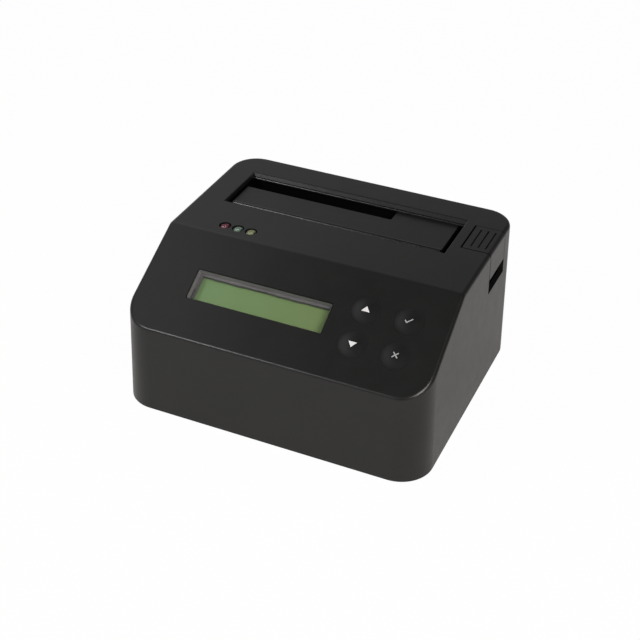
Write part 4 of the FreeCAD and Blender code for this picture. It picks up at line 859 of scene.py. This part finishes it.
def softbox(name, place, aim, size, radiance, tint=(1, 1, 1)):
    """Area light of a given brightness, turned to a point; lengths in metres."""
    data = bpy.data.lights.new(name, "AREA")
    data.color = tint
    data.shape = "RECTANGLE"
    data.size, data.size_y = size
    data.energy = radiance * math.pi * size[0] * size[1]
    box = bpy.data.objects.new(name, data)
    box.location = place
    box.rotation_euler = (Vector(aim) - Vector(place)).to_track_quat("-Z", "Y").to_euler()
    bpy.context.scene.collection.objects.link(box)


def lights():
    softbox("front_box", place=(-0.45, -0.64, 0.63), aim=(-0.03, -0.02, 0.06), size=(0.18, 0.22),
            radiance=18.0)
    softbox("top_box", place=(-0.44, 0.15, 0.62), aim=(-0.44, 0.15, 0.0), size=(0.34, 1.0),
            radiance=0.65)
    softbox("fill_box", place=(0.55, -0.5, 0.62), aim=(0, 0, 0.05), size=(0.4, 0.5),
            radiance=9.5, tint=FILL_TINT)


def camera():
    back = Vector((
        math.sin(CAMERA_AZIMUTH) * math.cos(CAMERA_ELEVATION),
        -math.cos(CAMERA_AZIMUTH) * math.cos(CAMERA_ELEVATION),
        math.sin(CAMERA_ELEVATION),
    ))
    right = Vector((math.cos(CAMERA_AZIMUTH), math.sin(CAMERA_AZIMUTH), 0))
    up = back.cross(right)
    rolled_right = math.cos(CAMERA_ROLL) * right + math.sin(CAMERA_ROLL) * up
    rolled_up = math.cos(CAMERA_ROLL) * up - math.sin(CAMERA_ROLL) * right
    data = bpy.data.cameras.new("camera")
    data.lens = CAMERA_LENS
    data.sensor_width = SENSOR_WIDTH
    data.clip_start = CAMERA_CLIP
    viewer = bpy.data.objects.new("camera", data)
    turn = Matrix((rolled_right, rolled_up, back)).transposed()
    viewer.matrix_world = Matrix.Translation(CAMERA_PLACE) @ turn.to_4x4()
    bpy.context.scene.collection.objects.link(viewer)
    bpy.context.scene.camera = viewer


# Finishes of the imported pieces
def dress(material, *names):
    for name in names:
        NODES[name].data.materials.clear()
        NODES[name].data.materials.append(material)


def dress_housing(shell):
    dress(shell, "upper_housing", "eject_button", "dust_flap")
    cover = moulded_plastic("cover_plastic", (0.011, 0.011, 0.011), rough=0.45, grain=3800, depth=0.02)
    dress(cover, "bottom_cover")
    well = moulded_plastic("well_plastic", (0.002, 0.002, 0.002), rough=0.6, grain=3800, depth=0.02,
                           specular=0.05)
    dress(well, "drive_well", "eject_rocker")


def dress_metal(steel, bright):
    dress(steel, "well_screws", "carrier_screws", "main_screws", "display_screws", "key_screws",
          "lamp_screws", "flap_hinge_pin", "rocker_pin")
    dress(bright, "inlet_pin")
    gold = metal("gold_plate", (0.86, 0.62, 0.26), rough=0.24)
    dress(gold, "connector_contacts")
    aluminium = metal("satin_aluminium", (0.72, 0.72, 0.74), rough=0.34, scale=500, stretch=(1, 1, 6))
    dress(aluminium, "main_capacitors")
    tin = metal("tin_plate", (0.66, 0.66, 0.67), rough=0.3, scale=700, stretch=(6, 1, 1))
    dress(tin, "data_port_shell")


def dress_electronics():
    lacquer = solder_mask("board_green")
    dress(lacquer, "carrier_board", "main_board", "display_board", "key_board", "lamp_board")
    connector = moulded_plastic("connector_plastic", (0.012, 0.012, 0.012), rough=0.38, grain=2600)
    dress(connector, "drive_connector", "board_link")
    epoxy = moulded_plastic("chip_epoxy", (0.014, 0.014, 0.015), rough=0.5, grain=3000)
    dress(epoxy, "main_chips", "key_switches")
    port = moulded_plastic("port_plastic", (0.014, 0.014, 0.014), rough=0.34, grain=2600)
    dress(port, "data_port_tongue", "power_inlet", "power_switch_body", "power_rocker")
    film = moulded_plastic("ribbon_film", (0.28, 0.28, 0.3), rough=0.5, grain=900)
    dress(film, "lamp_ribbon", "display_ribbon", "key_ribbon")
    plunger = moulded_plastic("plunger_plastic", (0.05, 0.05, 0.05), rough=0.5, grain=2200)
    dress(plunger, *("plunger_" + name for name in KEYS))


def dress_display():
    paint = moulded_plastic("bezel_paint", (0.012, 0.012, 0.012), rough=0.4, grain=2200)
    dress(paint, "display_bezel")
    dress(display_green("display_face"), "display_glass")
    diffuser = moulded_plastic("diffuser", (0.55, 0.6, 0.5), rough=0.5, grain=900)
    dress(diffuser, "display_backlight")


def main():
    bpy.context.scene.view_settings.view_transform = "Standard"
    world_light()
    table()
    lights()
    camera()
    shell = moulded_plastic("shell_plastic", SHELL_TINT, rough=0.3)
    steel = metal("zinc_plate", (0.58, 0.58, 0.6), rough=0.32)
    bright = metal("bright_plate", (0.8, 0.8, 0.81), rough=0.2)
    dress_housing(shell)
    dress_metal(steel, bright)
    dress_electronics()
    dress_display()
    keys()
    window()
    foam = moulded_plastic("gasket_foam", (0.18, 0.175, 0.18), rough=0.8, grain=1800, depth=0.05,
                           specular=0.15)
    gasket(foam)
    lamps(bright)
    polished = moulded_plastic("polished_edge", SHELL_TINT, rough=0.23)
    opening_lip(polished)
    flap_bead(polished)
    flap_spring(steel)
    eject_spring(steel)
    rubber = moulded_plastic("foot_rubber", (0.012, 0.012, 0.012), rough=0.75, grain=2400, depth=0.03,
                             specular=0.2)
    feet(rubber)
    cover_screws(steel)


main()
